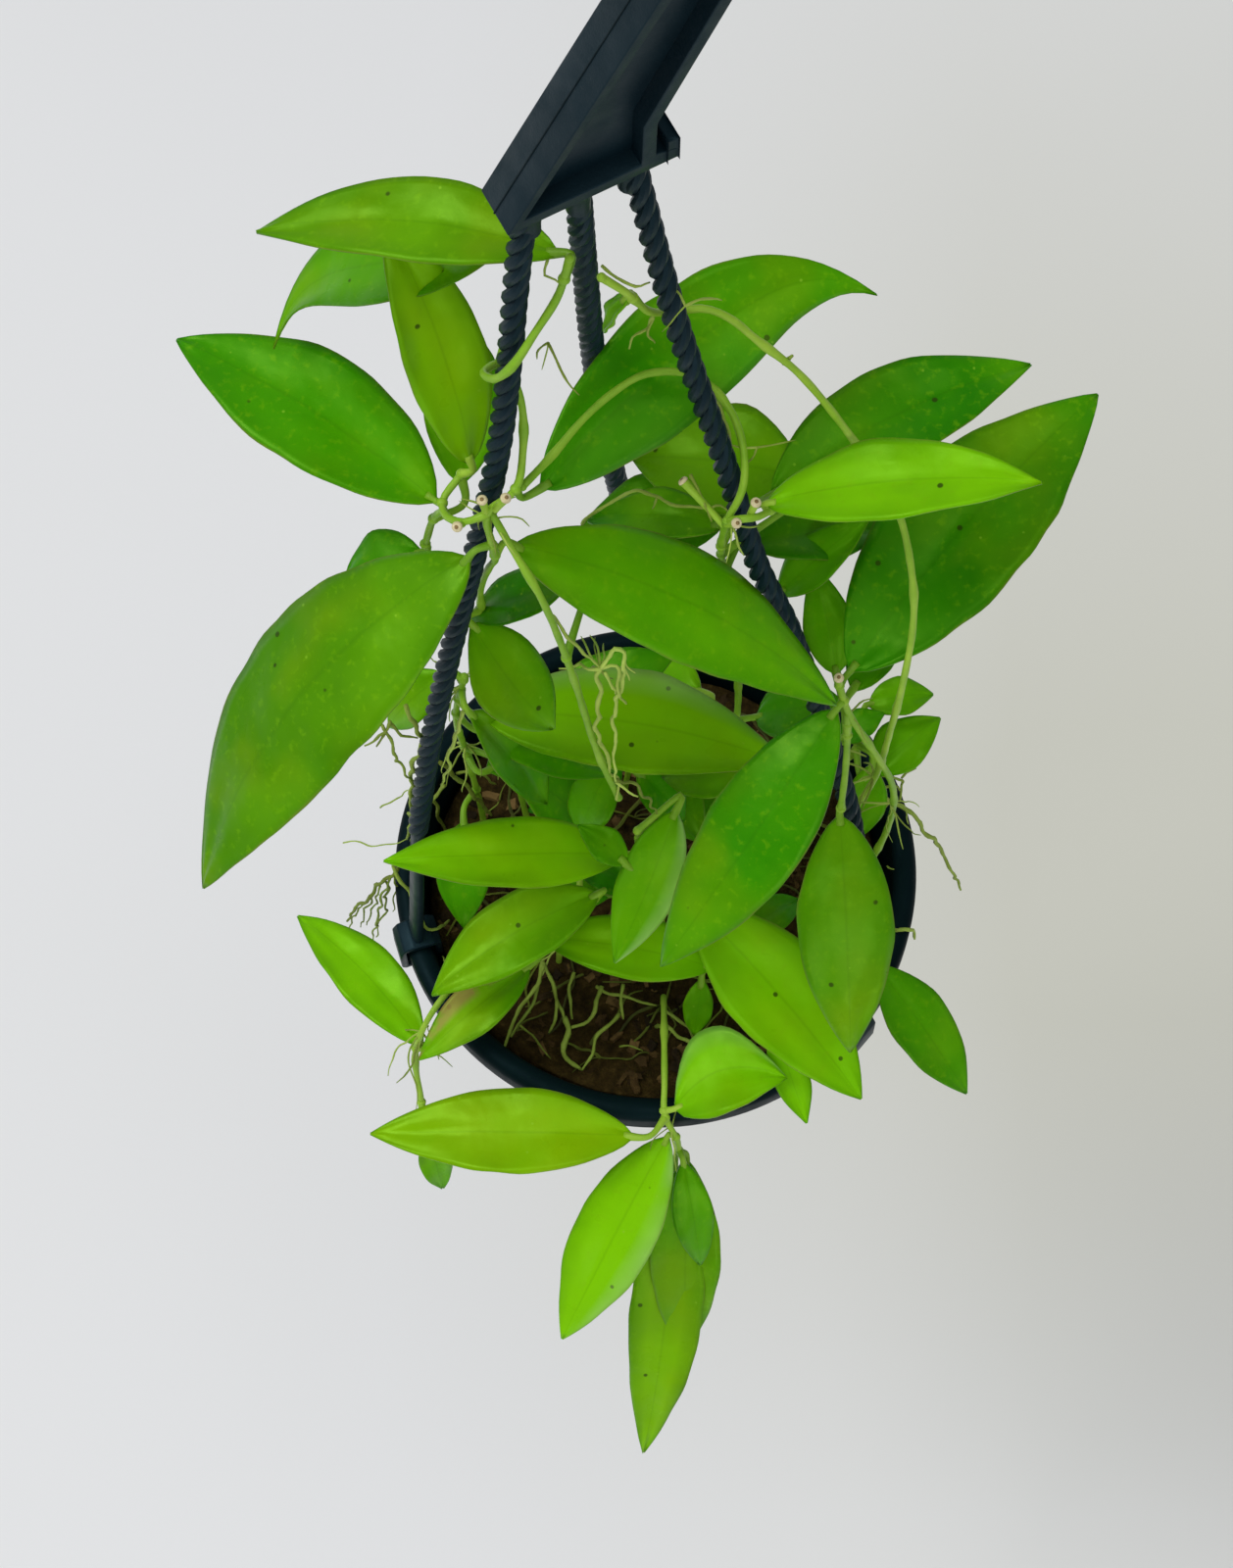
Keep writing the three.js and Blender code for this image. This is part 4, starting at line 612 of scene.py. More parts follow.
def route_frames(route):
    """Every point of a route with two sides across it, which turn as little as they can."""
    frames = []
    side = None
    for k, point in enumerate(route):
        along = (route[min(k + 1, len(route) - 1)] - route[max(k - 1, 0)]).normalized()
        if side is None:
            side = along.orthogonal().normalized()
        else:
            side = (side - along * side.dot(along)).normalized()
        frames.append((point, side, along.cross(side)))
    return frames


def tube(route, radius_at, sides=10):
    """A closed round tube along a route, wrapped from a flat grid. radius_at takes the share."""
    bm = bmesh.new()
    frames = route_frames(route)
    rows = len(frames) - 1
    bmesh.ops.create_grid(bm, x_segments=sides, y_segments=rows, size=1)
    for vert in bm.verts:
        column = round((vert.co.x + 1) / 2 * sides)
        row = round((vert.co.y + 1) / 2 * rows)
        centre, side, other = frames[row]
        angle = 2 * math.pi * (column % sides) / sides
        vert.co = centre + around(side, other, angle) * radius_at(row / rows)
    return closed(bm)


def ball(centre, radii):
    """A rounded lump with a radius along each axis."""
    bm = bmesh.new()
    bmesh.ops.create_icosphere(bm, subdivisions=2, radius=1)
    place = Matrix.Translation(centre) @ Matrix.Diagonal((*radii, 1))
    bmesh.ops.transform(bm, matrix=place, verts=bm.verts)
    return bm


# What a finish can read from a piece's vertices, besides its place along and across a blade
LOOKS = ("tone", "seed", "warm", "sheen", "scab")


class Piece:
    """A piece of the object that is gathered from small meshes, in millimetres until it is made."""

    def __init__(self, name, finishes):
        self.name = name
        self.finishes = finishes
        self.bm = bmesh.new()
        for layer in ("along", "across", *LOOKS):
            self.bm.verts.layers.float.new(layer)

    def add(self, bm, finish, smooth=True, **looks):
        """Takes in a small mesh with one finish, and frees it. looks go to its vertices."""
        for name in ("along", "across"):
            if name not in bm.verts.layers.float:
                bm.verts.layers.float.new(name)
        for name in LOOKS:
            layer = bm.verts.layers.float.new(name)
            for vert in bm.verts:
                vert[layer] = looks.get(name, 0.0)
        slot = self.finishes.index(finish)
        for face in bm.faces:
            face.smooth = smooth
            if face.material_index == 0:
                face.material_index = slot
        carrier = mesh_of("carrier", bm)
        self.bm.from_mesh(carrier)
        bpy.data.meshes.remove(carrier)

    def make(self, node, slot, smooth_degrees=None):
        """Makes the object in metres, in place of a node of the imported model."""
        bmesh.ops.scale(self.bm, vec=(MM, MM, MM), verts=self.bm.verts)
        mesh = mesh_of(self.name, self.bm)
        for finish in self.finishes:
            mesh.materials.append(finish_of(finish))
        if smooth_degrees is not None:
            mesh.set_sharp_from_angle(angle=math.radians(smooth_degrees))
        made = in_scene(self.name, mesh)
        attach(made, "root")
        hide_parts(node)
        return made


# Finishes


class Tree:
    """The node tree of one finish, with its shader."""

    def __init__(self, name):
        self.material = bpy.data.materials.new(name)
        self.material.use_nodes = True
        self.nodes = self.material.node_tree.nodes
        self.links = self.material.node_tree.links
        self.shader = self.nodes["Principled BSDF"]

    def put(self, socket, value):
        if isinstance(value, bpy.types.NodeSocket):
            self.links.new(value, socket)
        else:
            socket.default_value = value

    def set(self, **values):
        for name, value in values.items():
            self.put(self.shader.inputs[name.replace("_", " ")], value)

    def coords(self):
        return self.nodes.new("ShaderNodeTexCoord").outputs["Object"]

    def attribute(self, name):
        node = self.nodes.new("ShaderNodeAttribute")
        node.attribute_name = name
        return node.outputs["Fac"]

    def math(self, kind, a, b=0.0, c=0.0, clamp=False):
        node = self.nodes.new("ShaderNodeMath")
        node.operation = kind
        node.use_clamp = clamp
        for socket, value in zip(node.inputs, (a, b, c)):
            self.put(socket, value)
        return node.outputs[0]

    def times(self, a, b):
        return self.math("MULTIPLY", a, b)

    def noise(self, scale, detail=3.0, roughness=0.55, vector=None, distortion=0.0):
        node = self.nodes.new("ShaderNodeTexNoise")
        self.links.new(vector or self.coords(), node.inputs["Vector"])
        node.inputs["Scale"].default_value = scale
        node.inputs["Detail"].default_value = detail
        node.inputs["Roughness"].default_value = roughness
        node.inputs["Distortion"].default_value = distortion
        return node.outputs["Fac"]

    def specks(self, scale, solid, gone, most, picked, vector):
        """Round specks in the cells above picked, solid to one radius and gone at the next."""
        node = self.nodes.new("ShaderNodeTexVoronoi")
        self.links.new(vector, node.inputs["Vector"])
        node.inputs["Scale"].default_value = scale
        chosen = self.math("GREATER_THAN", node.outputs["Color"], picked)
        return self.times(self.map(node.outputs["Distance"], solid, gone, most, 0.0), chosen)

    def ramp(self, factor, stops):
        node = self.nodes.new("ShaderNodeValToRGB")
        band = node.color_ramp.elements
        while len(band) < len(stops):
            band.new(0.5)
        for element, (place, colour) in zip(band, stops):
            element.position = place
            element.color = (*colour, 1)
        self.put(node.inputs["Fac"], factor)
        return node.outputs["Color"]

    def mix(self, factor, a, b):
        node = self.nodes.new("ShaderNodeMix")
        node.data_type = "RGBA"
        self.put(node.inputs["Factor"], factor)
        self.put(node.inputs["A"], a if isinstance(a, bpy.types.NodeSocket) else (*a, 1))
        self.put(node.inputs["B"], b if isinstance(b, bpy.types.NodeSocket) else (*b, 1))
        return node.outputs["Result"]

    def map(self, value, low, high, to_low=0.0, to_high=1.0):
        node = self.nodes.new("ShaderNodeMapRange")
        for socket, number in zip(node.inputs, (value, low, high, to_low, to_high)):
            self.put(socket, number)
        return node.outputs[0]

    def patches(self, scale, low, high, most=1.0, **settings):
        """Noise that goes from 0 to most between two of its levels."""
        return self.map(self.noise(scale, **settings), low, high, 0.0, most)

    def toned(self, value, spread):
        """The piece's tone, varied both ways by a value."""
        tone = self.math("MULTIPLY_ADD", value, spread, self.attribute("tone"))
        return self.math("SUBTRACT", tone, spread / 2)

    def bump(self, height, strength, distance, under=None):
        node = self.nodes.new("ShaderNodeBump")
        node.inputs["Strength"].default_value = strength
        node.inputs["Distance"].default_value = distance
        self.links.new(height, node.inputs["Height"])
        if under is not None:
            self.links.new(under, node.inputs["Normal"])
        return node.outputs["Normal"]

    def shifted(self, attribute):
        """Object coordinates moved by an attribute, so that no two leaves share a pattern."""
        node = self.nodes.new("ShaderNodeVectorMath")
        node.operation = "ADD"
        self.links.new(self.coords(), node.inputs[0])
        self.links.new(self.attribute(attribute), node.inputs[1])
        return node.outputs[0]


# Colour of the patches that the sun has yellowed
SUNNED = (0.24, 0.37, 0.001)

# Colours of what marks a leaf's top, in the order that they are laid over its green. The darkening towards
# the margins is painted shade where they curl down. The pale gloss patches and the pale band along one
# side are painted highlights. The rest is the leaf's own colour.
LEAF_MARKS = {
    "shaded_edge": (0.018, 0.15, 0.0005),
    "gloss_highlight": (0.17, 0.48, 0.004),
    "rib": (0.012, 0.09, 0.001),
    "margin": (0.20, 0.22, 0.03),
    "wax": (0.13, 0.38, 0.003),
    "fleck": (0.28, 0.55, 0.03),
    "spot": (0.02, 0.035, 0.003),
    "mottle": (0.20, 0.46, 0.004),
    "sheen": (0.42, 0.66, 0.22),
    "scab": (0.30, 0.20, 0.06),
}


def leaf_colour(tree, stops, blotch):
    """Green by a leaf's tone, with soft blotches and fine mottling."""
    fine_spread = 0.12
    where = tree.shifted("seed")
    soft = tree.noise(34, vector=where, distortion=0.5)
    fine = tree.noise(240, detail=5, vector=where)
    tone = tree.math("MULTIPLY_ADD", soft, blotch, tree.attribute("tone"))
    tone = tree.math("MULTIPLY_ADD", fine, fine_spread, tone)
    tone = tree.math("SUBTRACT", tone, (blotch + fine_spread) / 2)
    patch = tree.patches(22, 0.5, 0.75, 0.5, vector=where)
    warm = tree.math("ADD", patch, tree.attribute("warm"), clamp=True)
    return tree.mix(warm, tree.ramp(tone, stops), SUNNED), where


def finish_leaf_top():
    tree = Tree("waxy_leaf_top")
    looks = bpy.context.scene.hoya_leaves
    stops = [(0.0, looks.deep), (0.33, looks.middle), (0.66, looks.light), (1.0, looks.lime)]
    colour, where = leaf_colour(tree, stops, 0.55)

    def patches(scale, low, high, most=1.0, **settings):
        return tree.patches(scale, low, high, most, vector=where, **settings)

    across = tree.attribute("across")
    from_rib = tree.math("ABSOLUTE", across)
    # painted highlight: the sheen attribute picks the side of the blade that gets a pale band of reflected
    # light
    lit_side = tree.map(tree.times(across, tree.attribute("sheen")), 0.4, 0.85)
    scabbed_side = tree.map(tree.times(across, tree.attribute("scab")), 0.2, 0.4, 0.0, 0.8)
    shares = {
        # painted shade: the blade darkens towards its margins, where they curl down
        "shaded_edge": tree.times(tree.map(from_rib, 0.45, 0.97, 0.0, 0.6), patches(26, 0.3, 0.65)),
        # painted highlight: soft pale patches of waxy gloss laid into the colour
        "gloss_highlight": patches(19, 0.54, 0.70, 0.3, detail=2, distortion=0.8),
        "rib": tree.map(from_rib, 0.0, 0.05, 0.16, 0.0),
        "margin": tree.times(tree.map(from_rib, 0.965, 0.99, 0.0, 0.5), patches(70, 0.35, 0.6)),
        "wax": patches(52, 0.55, 0.8, 0.14, detail=4),
        "fleck": tree.specks(260, 0.06, 0.11, 0.45, 0.7, where),
        "spot": tree.specks(130, 0.07, 0.1, 0.85, 0.6, where),
        "mottle": patches(520, 0.56, 0.72, 0.3),
        "sheen": tree.times(tree.times(lit_side, patches(28, 0.3, 0.6)), 0.6),
        "scab": tree.times(patches(75, 0.42, 0.5, detail=4), scabbed_side),
    }
    for mark, paint in LEAF_MARKS.items():
        colour = tree.mix(shares[mark], colour, paint)
    waves = tree.bump(tree.noise(48, vector=where), 0.34, 0.003)
    tree.set(
        Base_Color=colour, Specular_IOR_Level=0.4, Specular_Tint=(0.5, 1.0, 0.1, 1),
        Roughness=tree.map(tree.noise(90, vector=where), 0.3, 0.7, 0.24, 0.42),
        Normal=tree.bump(tree.noise(1500, detail=2, vector=where), 0.04, 0.0004, waves),
    )
    return tree.material


def finish_leaf_under():
    tree = Tree("pale_leaf_under")
    looks = bpy.context.scene.hoya_leaves
    stops = [(0.0, looks.under), (0.5, looks.light), (1.0, looks.lime)]
    colour, where = leaf_colour(tree, stops, 0.25)
    across = tree.math("ABSOLUTE", tree.attribute("across"))
    colour = tree.mix(tree.map(across, 0.0, 0.09, 0.5, 0.0), colour, (0.34, 0.48, 0.12))
    tree.set(Base_Color=colour, Roughness=0.58, Specular_IOR_Level=0.25)
    tree.set(Normal=tree.bump(tree.noise(240, vector=where), 0.12, 0.0008))
    return tree.material


def finish_stem():
    tree = Tree("green_stem")
    stops = [(0.0, (0.07, 0.20, 0.006)), (0.5, (0.20, 0.42, 0.015)), (1.0, (0.44, 0.66, 0.06))]
    colour = tree.ramp(tree.toned(tree.noise(120, detail=4), 0.7), stops)
    scab = tree.patches(600, 0.68, 0.76, 0.4, detail=5)
    tree.set(
        Base_Color=tree.mix(scab, colour, (0.32, 0.27, 0.09)), Roughness=0.46,
        Specular_IOR_Level=0.35, Specular_Tint=(0.95, 1.0, 0.7, 1),
        Normal=tree.bump(tree.noise(900, detail=4), 0.25, 0.0005),
    )
    return tree.material


def dull_finish(name, stops, mottle, spread, roughness, shine, grain, relief):
    """Dull matter that varies about its tone. mottle and grain are each a noise's scale and
    detail, and relief is a bump's strength and depth.
    """
    tree = Tree(name)
    tree.set(
        Base_Color=tree.ramp(tree.toned(tree.noise(*mottle), spread), stops),
        Roughness=roughness, Specular_IOR_Level=shine,
        Normal=tree.bump(tree.noise(*grain), *relief),
    )
    return tree.material


def finish_root():
    stops = [
        (0.0, (0.045, 0.050, 0.008)), (0.3, (0.13, 0.17, 0.014)), (0.6, (0.27, 0.38, 0.05)),
        (1.0, (0.50, 0.66, 0.12)),
    ]
    return dull_finish("aerial_root", stops, (160, 5), 0.5, 0.7, 0.25, (1400, 4), (0.5, 0.0005))


def finish_scar():
    stops = [(0.0, (0.20, 0.12, 0.04)), (0.5, (0.50, 0.40, 0.18)), (0.9, (0.74, 0.66, 0.40))]
    return dull_finish("cut_stalk_end", stops, (900, 4), 0.5, 0.8, 0.2, (1600, 3), (0.5, 0.0005))


def finish_bark():
    stops = [(0.1, (0.015, 0.009, 0.002)), (0.5, (0.065, 0.037, 0.009)), (0.9, (0.17, 0.105, 0.032))]
    return dull_finish("bark_chip", stops, (420, 6), 0.7, 0.85, 0.2, (800, 6), (0.7, 0.0012))


def moulded_plastic(name, colour, dust, roughness, shine=0.22):
    """Satin plastic with a faint cloudiness, dust that has settled on it, and fine scuffs."""
    tree = Tree(name)
    pale = tuple(min(1.0, c * 1.7 + 0.001) for c in colour)
    base = tree.mix(tree.patches(45, 0.35, 0.75, 0.55, detail=5), tuple(colour), pale)
    specks = tree.patches(700, 0.66, 0.76, dust, detail=6, roughness=0.7)
    scuffs = tree.map(tree.noise(130, detail=4), 0.3, 0.7, roughness - 0.1, roughness + 0.14)
    grain = tree.bump(tree.noise(2200, detail=2), 0.12, 0.0003)
    tree.set(
        Base_Color=tree.mix(specks, base, (0.16, 0.16, 0.14)), Roughness=scuffs,
        Specular_IOR_Level=shine, Specular_Tint=(0.45, 0.85, 1.0, 1),
        Normal=tree.bump(tree.noise(160), 0.16, 0.0008, grain),
    )
    return tree.material


def finish_pot():
    looks = bpy.context.scene.hoya_pot
    return moulded_plastic("pot_moulding", looks.colour, 0.12, 0.5, 0.1)


def finish_hanger():
    looks = bpy.context.scene.hoya_hanger
    return moulded_plastic("hanger_moulding", looks.colour, 0.12, 0.44)


# The seam's finish is the hanger's plastic at a quarter of its colour: a real seam, darkened as painted
# shade of the groove along the flange.
def finish_seam_shade():
    looks = bpy.context.scene.hoya_hanger
    return moulded_plastic("hanger_seam_shade", tuple(c * 0.25 for c in looks.colour), 0.0, 0.7)


def finish_crumb():
    tree = Tree("damp_crumb")
    stops = [(0.3, (0.013, 0.008, 0.001)), (0.55, (0.062, 0.038, 0.007)), (0.8, (0.16, 0.105, 0.026))]
    tree.set(Base_Color=tree.ramp(tree.noise(330, detail=8, roughness=0.7), stops))
    tree.set(Roughness=0.93, Specular_IOR_Level=0.15)
    tree.set(Normal=tree.bump(tree.noise(520, detail=8, roughness=0.75), 0.9, 0.003))
    return tree.material


def finish_floor():
    looks = bpy.context.scene.hoya_stage
    tree = Tree("pale_floor")
    split = tree.nodes.new("ShaderNodeSeparateXYZ")
    tree.links.new(tree.coords(), split.inputs[0])
    # painted shade: the floor is mixed towards a darker, warmer colour to the right of the pot, fullest
    # between 0.1 and 0.2 m back, with a little noise
    warm = tree.map(split.outputs["X"], -0.1, 0.15)
    warm = tree.times(warm, tree.map(split.outputs["Y"], -0.1, 0.1, 0.3, 1.0))
    warm = tree.times(warm, tree.map(split.outputs["Y"], 0.2, 0.6, 1.0, 0.3))
    warm = tree.math("MULTIPLY_ADD", tree.noise(3, detail=2), 0.2, tree.math("SUBTRACT", warm, 0.1))
    tree.set(Base_Color=tree.mix(warm, tuple(looks.floor), tuple(looks.floor_warm_shade)))
    tree.set(Roughness=0.9, Specular_IOR_Level=0.1)
    return tree.material


BUILDERS = {
    "leaf_top": finish_leaf_top,
    "leaf_under": finish_leaf_under,
    "stem": finish_stem,
    "root": finish_root,
    "scar": finish_scar,
    "pot": finish_pot,
    "hanger": finish_hanger,
    "seam_shade": finish_seam_shade,
    "crumb": finish_crumb,
    "bark": finish_bark,
    "floor": finish_floor,
}
made_finishes = {}


def finish_of(name):
    """The finish of that name, made once."""
    if name not in made_finishes:
        made_finishes[name] = BUILDERS[name]()
    return made_finishes[name]


# Pot


def pot_radius_at(height):
    share = height / (POT_HEIGHT - RIM_DEPTH)
    return POT_BASE_RADIUS + share * (POT_TOP_RADIUS - POT_BASE_RADIUS)


def make_pot(steps):
    """The pot as one spun wall with a rolled rim, a foot and drainage holes."""
    rim_bottom = POT_HEIGHT - RIM_DEPTH
    middle = (RIM_RADIUS + RIM_INNER_RADIUS) / 2
    reach = (RIM_RADIUS - RIM_INNER_RADIUS) / 2
    roll = []
    for k in range(ROLL_STEPS + 1):
        angle = math.pi * k / ROLL_STEPS
        top = POT_HEIGHT - ROLL_HEIGHT + ROLL_HEIGHT * math.sin(angle)
        roll.append((middle + reach * math.cos(angle), top))
    outline = [
        (AXIS_GAP, FOOT_LIFT), (DRAIN_CIRCLE - 8, FOOT_LIFT), (DRAIN_CIRCLE - 7, 0),
        (POT_BASE_RADIUS - 1.6, 0),
        (POT_BASE_RADIUS - 0.5, 0.4), (POT_BASE_RADIUS + 0.1, 1.6),
        (pot_radius_at(30), 30), (pot_radius_at(60), 60),
        (pot_radius_at(rim_bottom - 0.8), rim_bottom - 0.8),
        (pot_radius_at(rim_bottom) + 0.8, rim_bottom), (RIM_RADIUS - 0.7, rim_bottom + 0.1),
        (RIM_RADIUS - 0.1, rim_bottom + 0.7), (RIM_RADIUS, rim_bottom + 1.6),
        *roll,
        (RIM_INNER_RADIUS, rim_bottom - 2), (pot_radius_at(60) - POT_WALL, 60),
        (pot_radius_at(POT_FLOOR) - POT_WALL, POT_FLOOR), (AXIS_GAP, POT_FLOOR),
    ]
    piece = Piece("pot_shell", ["pot"])
    piece.add(closed(spun(outline, steps), SPIN_GAP), "pot")
    made = piece.make("pot", "pot_plastic", smooth_degrees=35)
    drill_base(made)
    return made


def drill_base(pot):
    """Cuts the drainage holes through the pot's floor."""
    bm = bmesh.new()
    for k in range(DRAIN_COUNT):
        angle = 2 * math.pi * k / DRAIN_COUNT
        middle = (DRAIN_CIRCLE * math.cos(angle), DRAIN_CIRCLE * math.sin(angle), 0)
        bmesh.ops.create_cone(
            bm, cap_ends=True, segments=28, radius1=DRAIN_RADIUS, radius2=DRAIN_RADIUS,
            depth=4 * POT_FLOOR, matrix=Matrix.Translation(middle),
        )
    bmesh.ops.scale(bm, vec=(MM, MM, MM), verts=bm.verts)
    mesh = mesh_of("drill", bm)
    drill = in_scene("drill", mesh)
    cut = pot.modifiers.new("drain_holes", "BOOLEAN")
    cut.object = drill
    cut.operation = "DIFFERENCE"
    cut.solver = "EXACT"
    settle(pot)
    bpy.data.objects.remove(drill)
    bpy.data.meshes.remove(mesh)


def settle(piece):
    """Applies a piece's modifiers to its mesh."""
    shaped = bpy.data.meshes.new_from_object(
        piece.evaluated_get(bpy.context.evaluated_depsgraph_get())
    )
    old = piece.data
    piece.modifiers.clear()
    piece.data = shaped
    shaped.name = old.name
    bpy.data.meshes.remove(old)


# Hanger


def plate_place(u, v, w):
    """Place in the model of a point on the hook plate, w being across its thickness."""
    along = Vector((math.cos(PLATE_YAW), math.sin(PLATE_YAW), 0))
    across = Vector((-math.sin(PLATE_YAW), math.cos(PLATE_YAW), 0))
    return PLATE_CENTRE + along * u + across * w + UP * v


def plate_outline(inset):
    """The hook plate's outline, drawn in by the same distance all round."""
    cx, cy = HOOK_CENTRE
    tip = HOOK_TIP_ANGLE - inset / HOOK_INNER_RADIUS

    def drawn_in(outer, inner):
        return tuple(a + (b - a) * inset / FLANGE_THICKNESS for a, b in zip(outer, inner))

    def on_hook(radius, angle):
        return cx + radius * math.cos(angle), cy + radius * math.sin(angle)

    corners = [drawn_in(*corner) for corner in PLATE_RIGHT]
    for k in range(HOOK_STEPS + 1):
        corners.append(on_hook(HOOK_OUTER_RADIUS - inset, tip * k / HOOK_STEPS))
    for k in range(HOOK_STEPS + 1):
        corners.append(on_hook(HOOK_INNER_RADIUS + inset, tip * (1 - k / HOOK_STEPS)))
    return [*corners, drawn_in(*PLATE_LEFT)]


def plate_flange():
    """The flange that runs round the plate and hook, with rounded edges."""
    bm = bmesh.new()
    loops = []
    half = FLANGE_WIDTH / 2
    for inset in (0, FLANGE_THICKNESS):
        verts = [bm.verts.new(plate_place(u, v, -half)) for u, v in plate_outline(inset)]
        loops.append([bm.edges.new((a, b)) for a, b in zip(verts, verts[1:] + verts[:1])])
    bmesh.ops.bridge_loops(bm, edges=loops[0] + loops[1])
    thicken(bm, plate_place(0, 0, FLANGE_WIDTH) - plate_place(0, 0, 0))
    round_edges(bm, [e for e in bm.edges if e.calc_face_angle(0) > math.radians(50)], EDGE_ROUNDING)
    return bm


def plate_web():
    """The thin web inside the flange."""
    bm = bmesh.new()
    half = WEB_THICKNESS / 2
    outline = plate_outline(FLANGE_THICKNESS / 2)
    bm.faces.new([bm.verts.new(plate_place(u, v, -half)) for u, v in outline])
    thicken(bm, plate_place(0, 0, WEB_THICKNESS) - plate_place(0, 0, 0))
    return bm


def block(low, high, rounding):
    """A box on the hook plate between two (u, v, w) corners, with rounded edges."""
    bm = bmesh.new()
    bmesh.ops.create_cube(bm, size=1)
    for vert in bm.verts:
        share = [c + 0.5 for c in vert.co]
        vert.co = plate_place(*(a + (b - a) * s for a, b, s in zip(low, high, share)))
    round_edges(bm, bm.edges[:], rounding)
    return bm


def parting_line():
    """The fine seam along the middle of the flange's outer face, as thin tubes in a darkened finish that
    is painted shade of its groove.
    """
    places = [plate_place(u, v, 0) for u, v in plate_outline(SEAM_INSET)]
    right, left = places[4:6 + HOOK_STEPS], [places[-1], places[0]]
    return [tube(smooth_route(points, 2), lambda share: SEAM_RADIUS, 6) for points in (right, left)]


def arm_strands(route, pitch):
    """Three strands that wind round an arm's core, and the core."""
    middle = smooth_route(route, 1.1)
    frames = route_frames(middle)
    strands = []
    for strand in range(3):
        winding = []
        gone = 0.0
        for k, (point, side, other) in enumerate(frames):
            if k:
                gone += (point - middle[k - 1]).length
            angle = 2 * math.pi * (strand / 3 + gone / pitch)
            circle = STRAND_CIRCLE * min(1.0, (len(frames) - 1 - k) / 5 + 0.35)
            winding.append(point + around(side, other, angle) * circle)
        strands.append(tube(winding, lambda share: STRAND_RADIUS, 9))
    return [*strands, tube(middle, lambda share: CORE_RADIUS, 8)]


def arm_root(top):
    """The flare where an arm grows out of the crossbar."""
    def radius_at(share):
        return ARM_TOP_RADIUS + ARM_FLARE * (1 - share) ** 2.4
    below = top + Vector((0.25, -0.7, -13))
    start = Vector((top.x, top.y, BAR_HEIGHT + 1))
    return tube(smooth_route([start, below], 1), radius_at, 20)


def radial_frame(degrees):
    angle = math.radians(degrees)
    out = Vector((math.cos(angle), math.sin(angle), 0))
    return out, Vector((-out.y, out.x, 0))


def arm_strap(start, degrees):
    """Smooth flat strap from the rope-like stretch down to the rim clip."""
    out, side = radial_frame(degrees)
    end = out * (RIM_RADIUS - 3.4) + UP * (POT_HEIGHT + 1.6)
    along = (end - start).normalized()
    face = side.cross(along).normalized()
    total = (end - start).length
    bm = bmesh.new()
    rows, sides = 22, 20
    bmesh.ops.create_grid(bm, x_segments=sides, y_segments=rows, size=1)
    for vert in bm.verts:
        column = round((vert.co.x + 1) / 2 * sides)
        share = (vert.co.y + 1) / 2
        distance = -STRAP_START + share * (total + STRAP_START)
        scale = 0.62 + 0.4 * min(1.0, max(0.0, distance / 30)) + 0.35 * max(0.0, share - 0.85)
        angle = 2 * math.pi * (column % sides) / sides
        across, depth = (
            math.copysign(abs(turn) ** 0.6, turn) for turn in (math.cos(angle), math.sin(angle))
        )
        spread = side * across * scale * STRAP_WIDTH / 2 + face * depth * STRAP_THICKNESS / 2
        vert.co = start + along * distance + spread
    return closed(bm)


def rim_clip(degrees):
    """Saddle that drops over the rim, with a lip that catches under the roll."""
    inside = RIM_INNER_RADIUS - 0.9
    outside = RIM_RADIUS + 0.4
    over = POT_HEIGHT + 0.4
    under = POT_HEIGHT - RIM_DEPTH - 0.5
    profile = [
        (inside, POT_HEIGHT - CLIP_LEG), (inside, over), (outside, over), (outside, under),
        (POT_TOP_RADIUS + 1, under), (POT_TOP_RADIUS + 1, under - 1.4), (outside + 1, under - 2),
        (outside + CLIP_WALL, under - 0.8), (outside + CLIP_WALL, over - 1.2), (outside + 0.6, over + 1.4),
        (outside - 2, over + 2.5), (inside, over + 2.2), (inside - CLIP_WALL, over + 0.4),
        (inside - CLIP_WALL, POT_HEIGHT - CLIP_LEG),
    ]
    out, side = radial_frame(degrees)
    bm = bmesh.new()
    bm.faces.new([bm.verts.new(out * r + UP * z - side * CLIP_WIDTH / 2) for r, z in profile])
    thicken(bm, side * CLIP_WIDTH)
    round_edges(bm, bm.edges[:], CLIP_ROUNDING)
    return bm


def make_hanger(pitch):
    """The hanger: flanged hook plate, crossbar, three twisted arms, straps and rim clips."""
    piece = Piece("hanger_moulding", ["hanger", "seam_shade"])
    piece.add(plate_flange(), "hanger")
    piece.add(plate_web(), "hanger")
    for seam_shade in parting_line():
        piece.add(seam_shade, "seam_shade")
    half = FLANGE_WIDTH / 2
    piece.add(block((16, 0.2, -half + 0.1), (18.5, 7, half - 0.1), 0.6), "hanger")
    for degrees, route in ARMS:
        points = [Vector(p) for p in route]
        for strand in arm_strands(points, pitch):
            piece.add(strand, "hanger")
        piece.add(arm_root(points[0]), "hanger")
        piece.add(arm_strap(points[-1], degrees), "hanger")
        piece.add(rim_clip(degrees), "hanger")
    return piece.make("hanger", "hanger_plastic", smooth_degrees=38)


# Growing mix


def mix_height(x, y):
    """Top of the mix, uneven as in the model, with crumb on it."""
    broad = 1.1 * math.sin(x * 0.13 + 1.2) * math.cos(y * 0.15) + 0.8 * math.sin(x * 0.31 + y * 0.27)
    crumb = 1.1 * noise.noise(Vector((x, y, 3)) * 0.35) + 0.5 * noise.noise(Vector((x, y, 9)) * 0.9)
    return MIX_TOP + broad + crumb


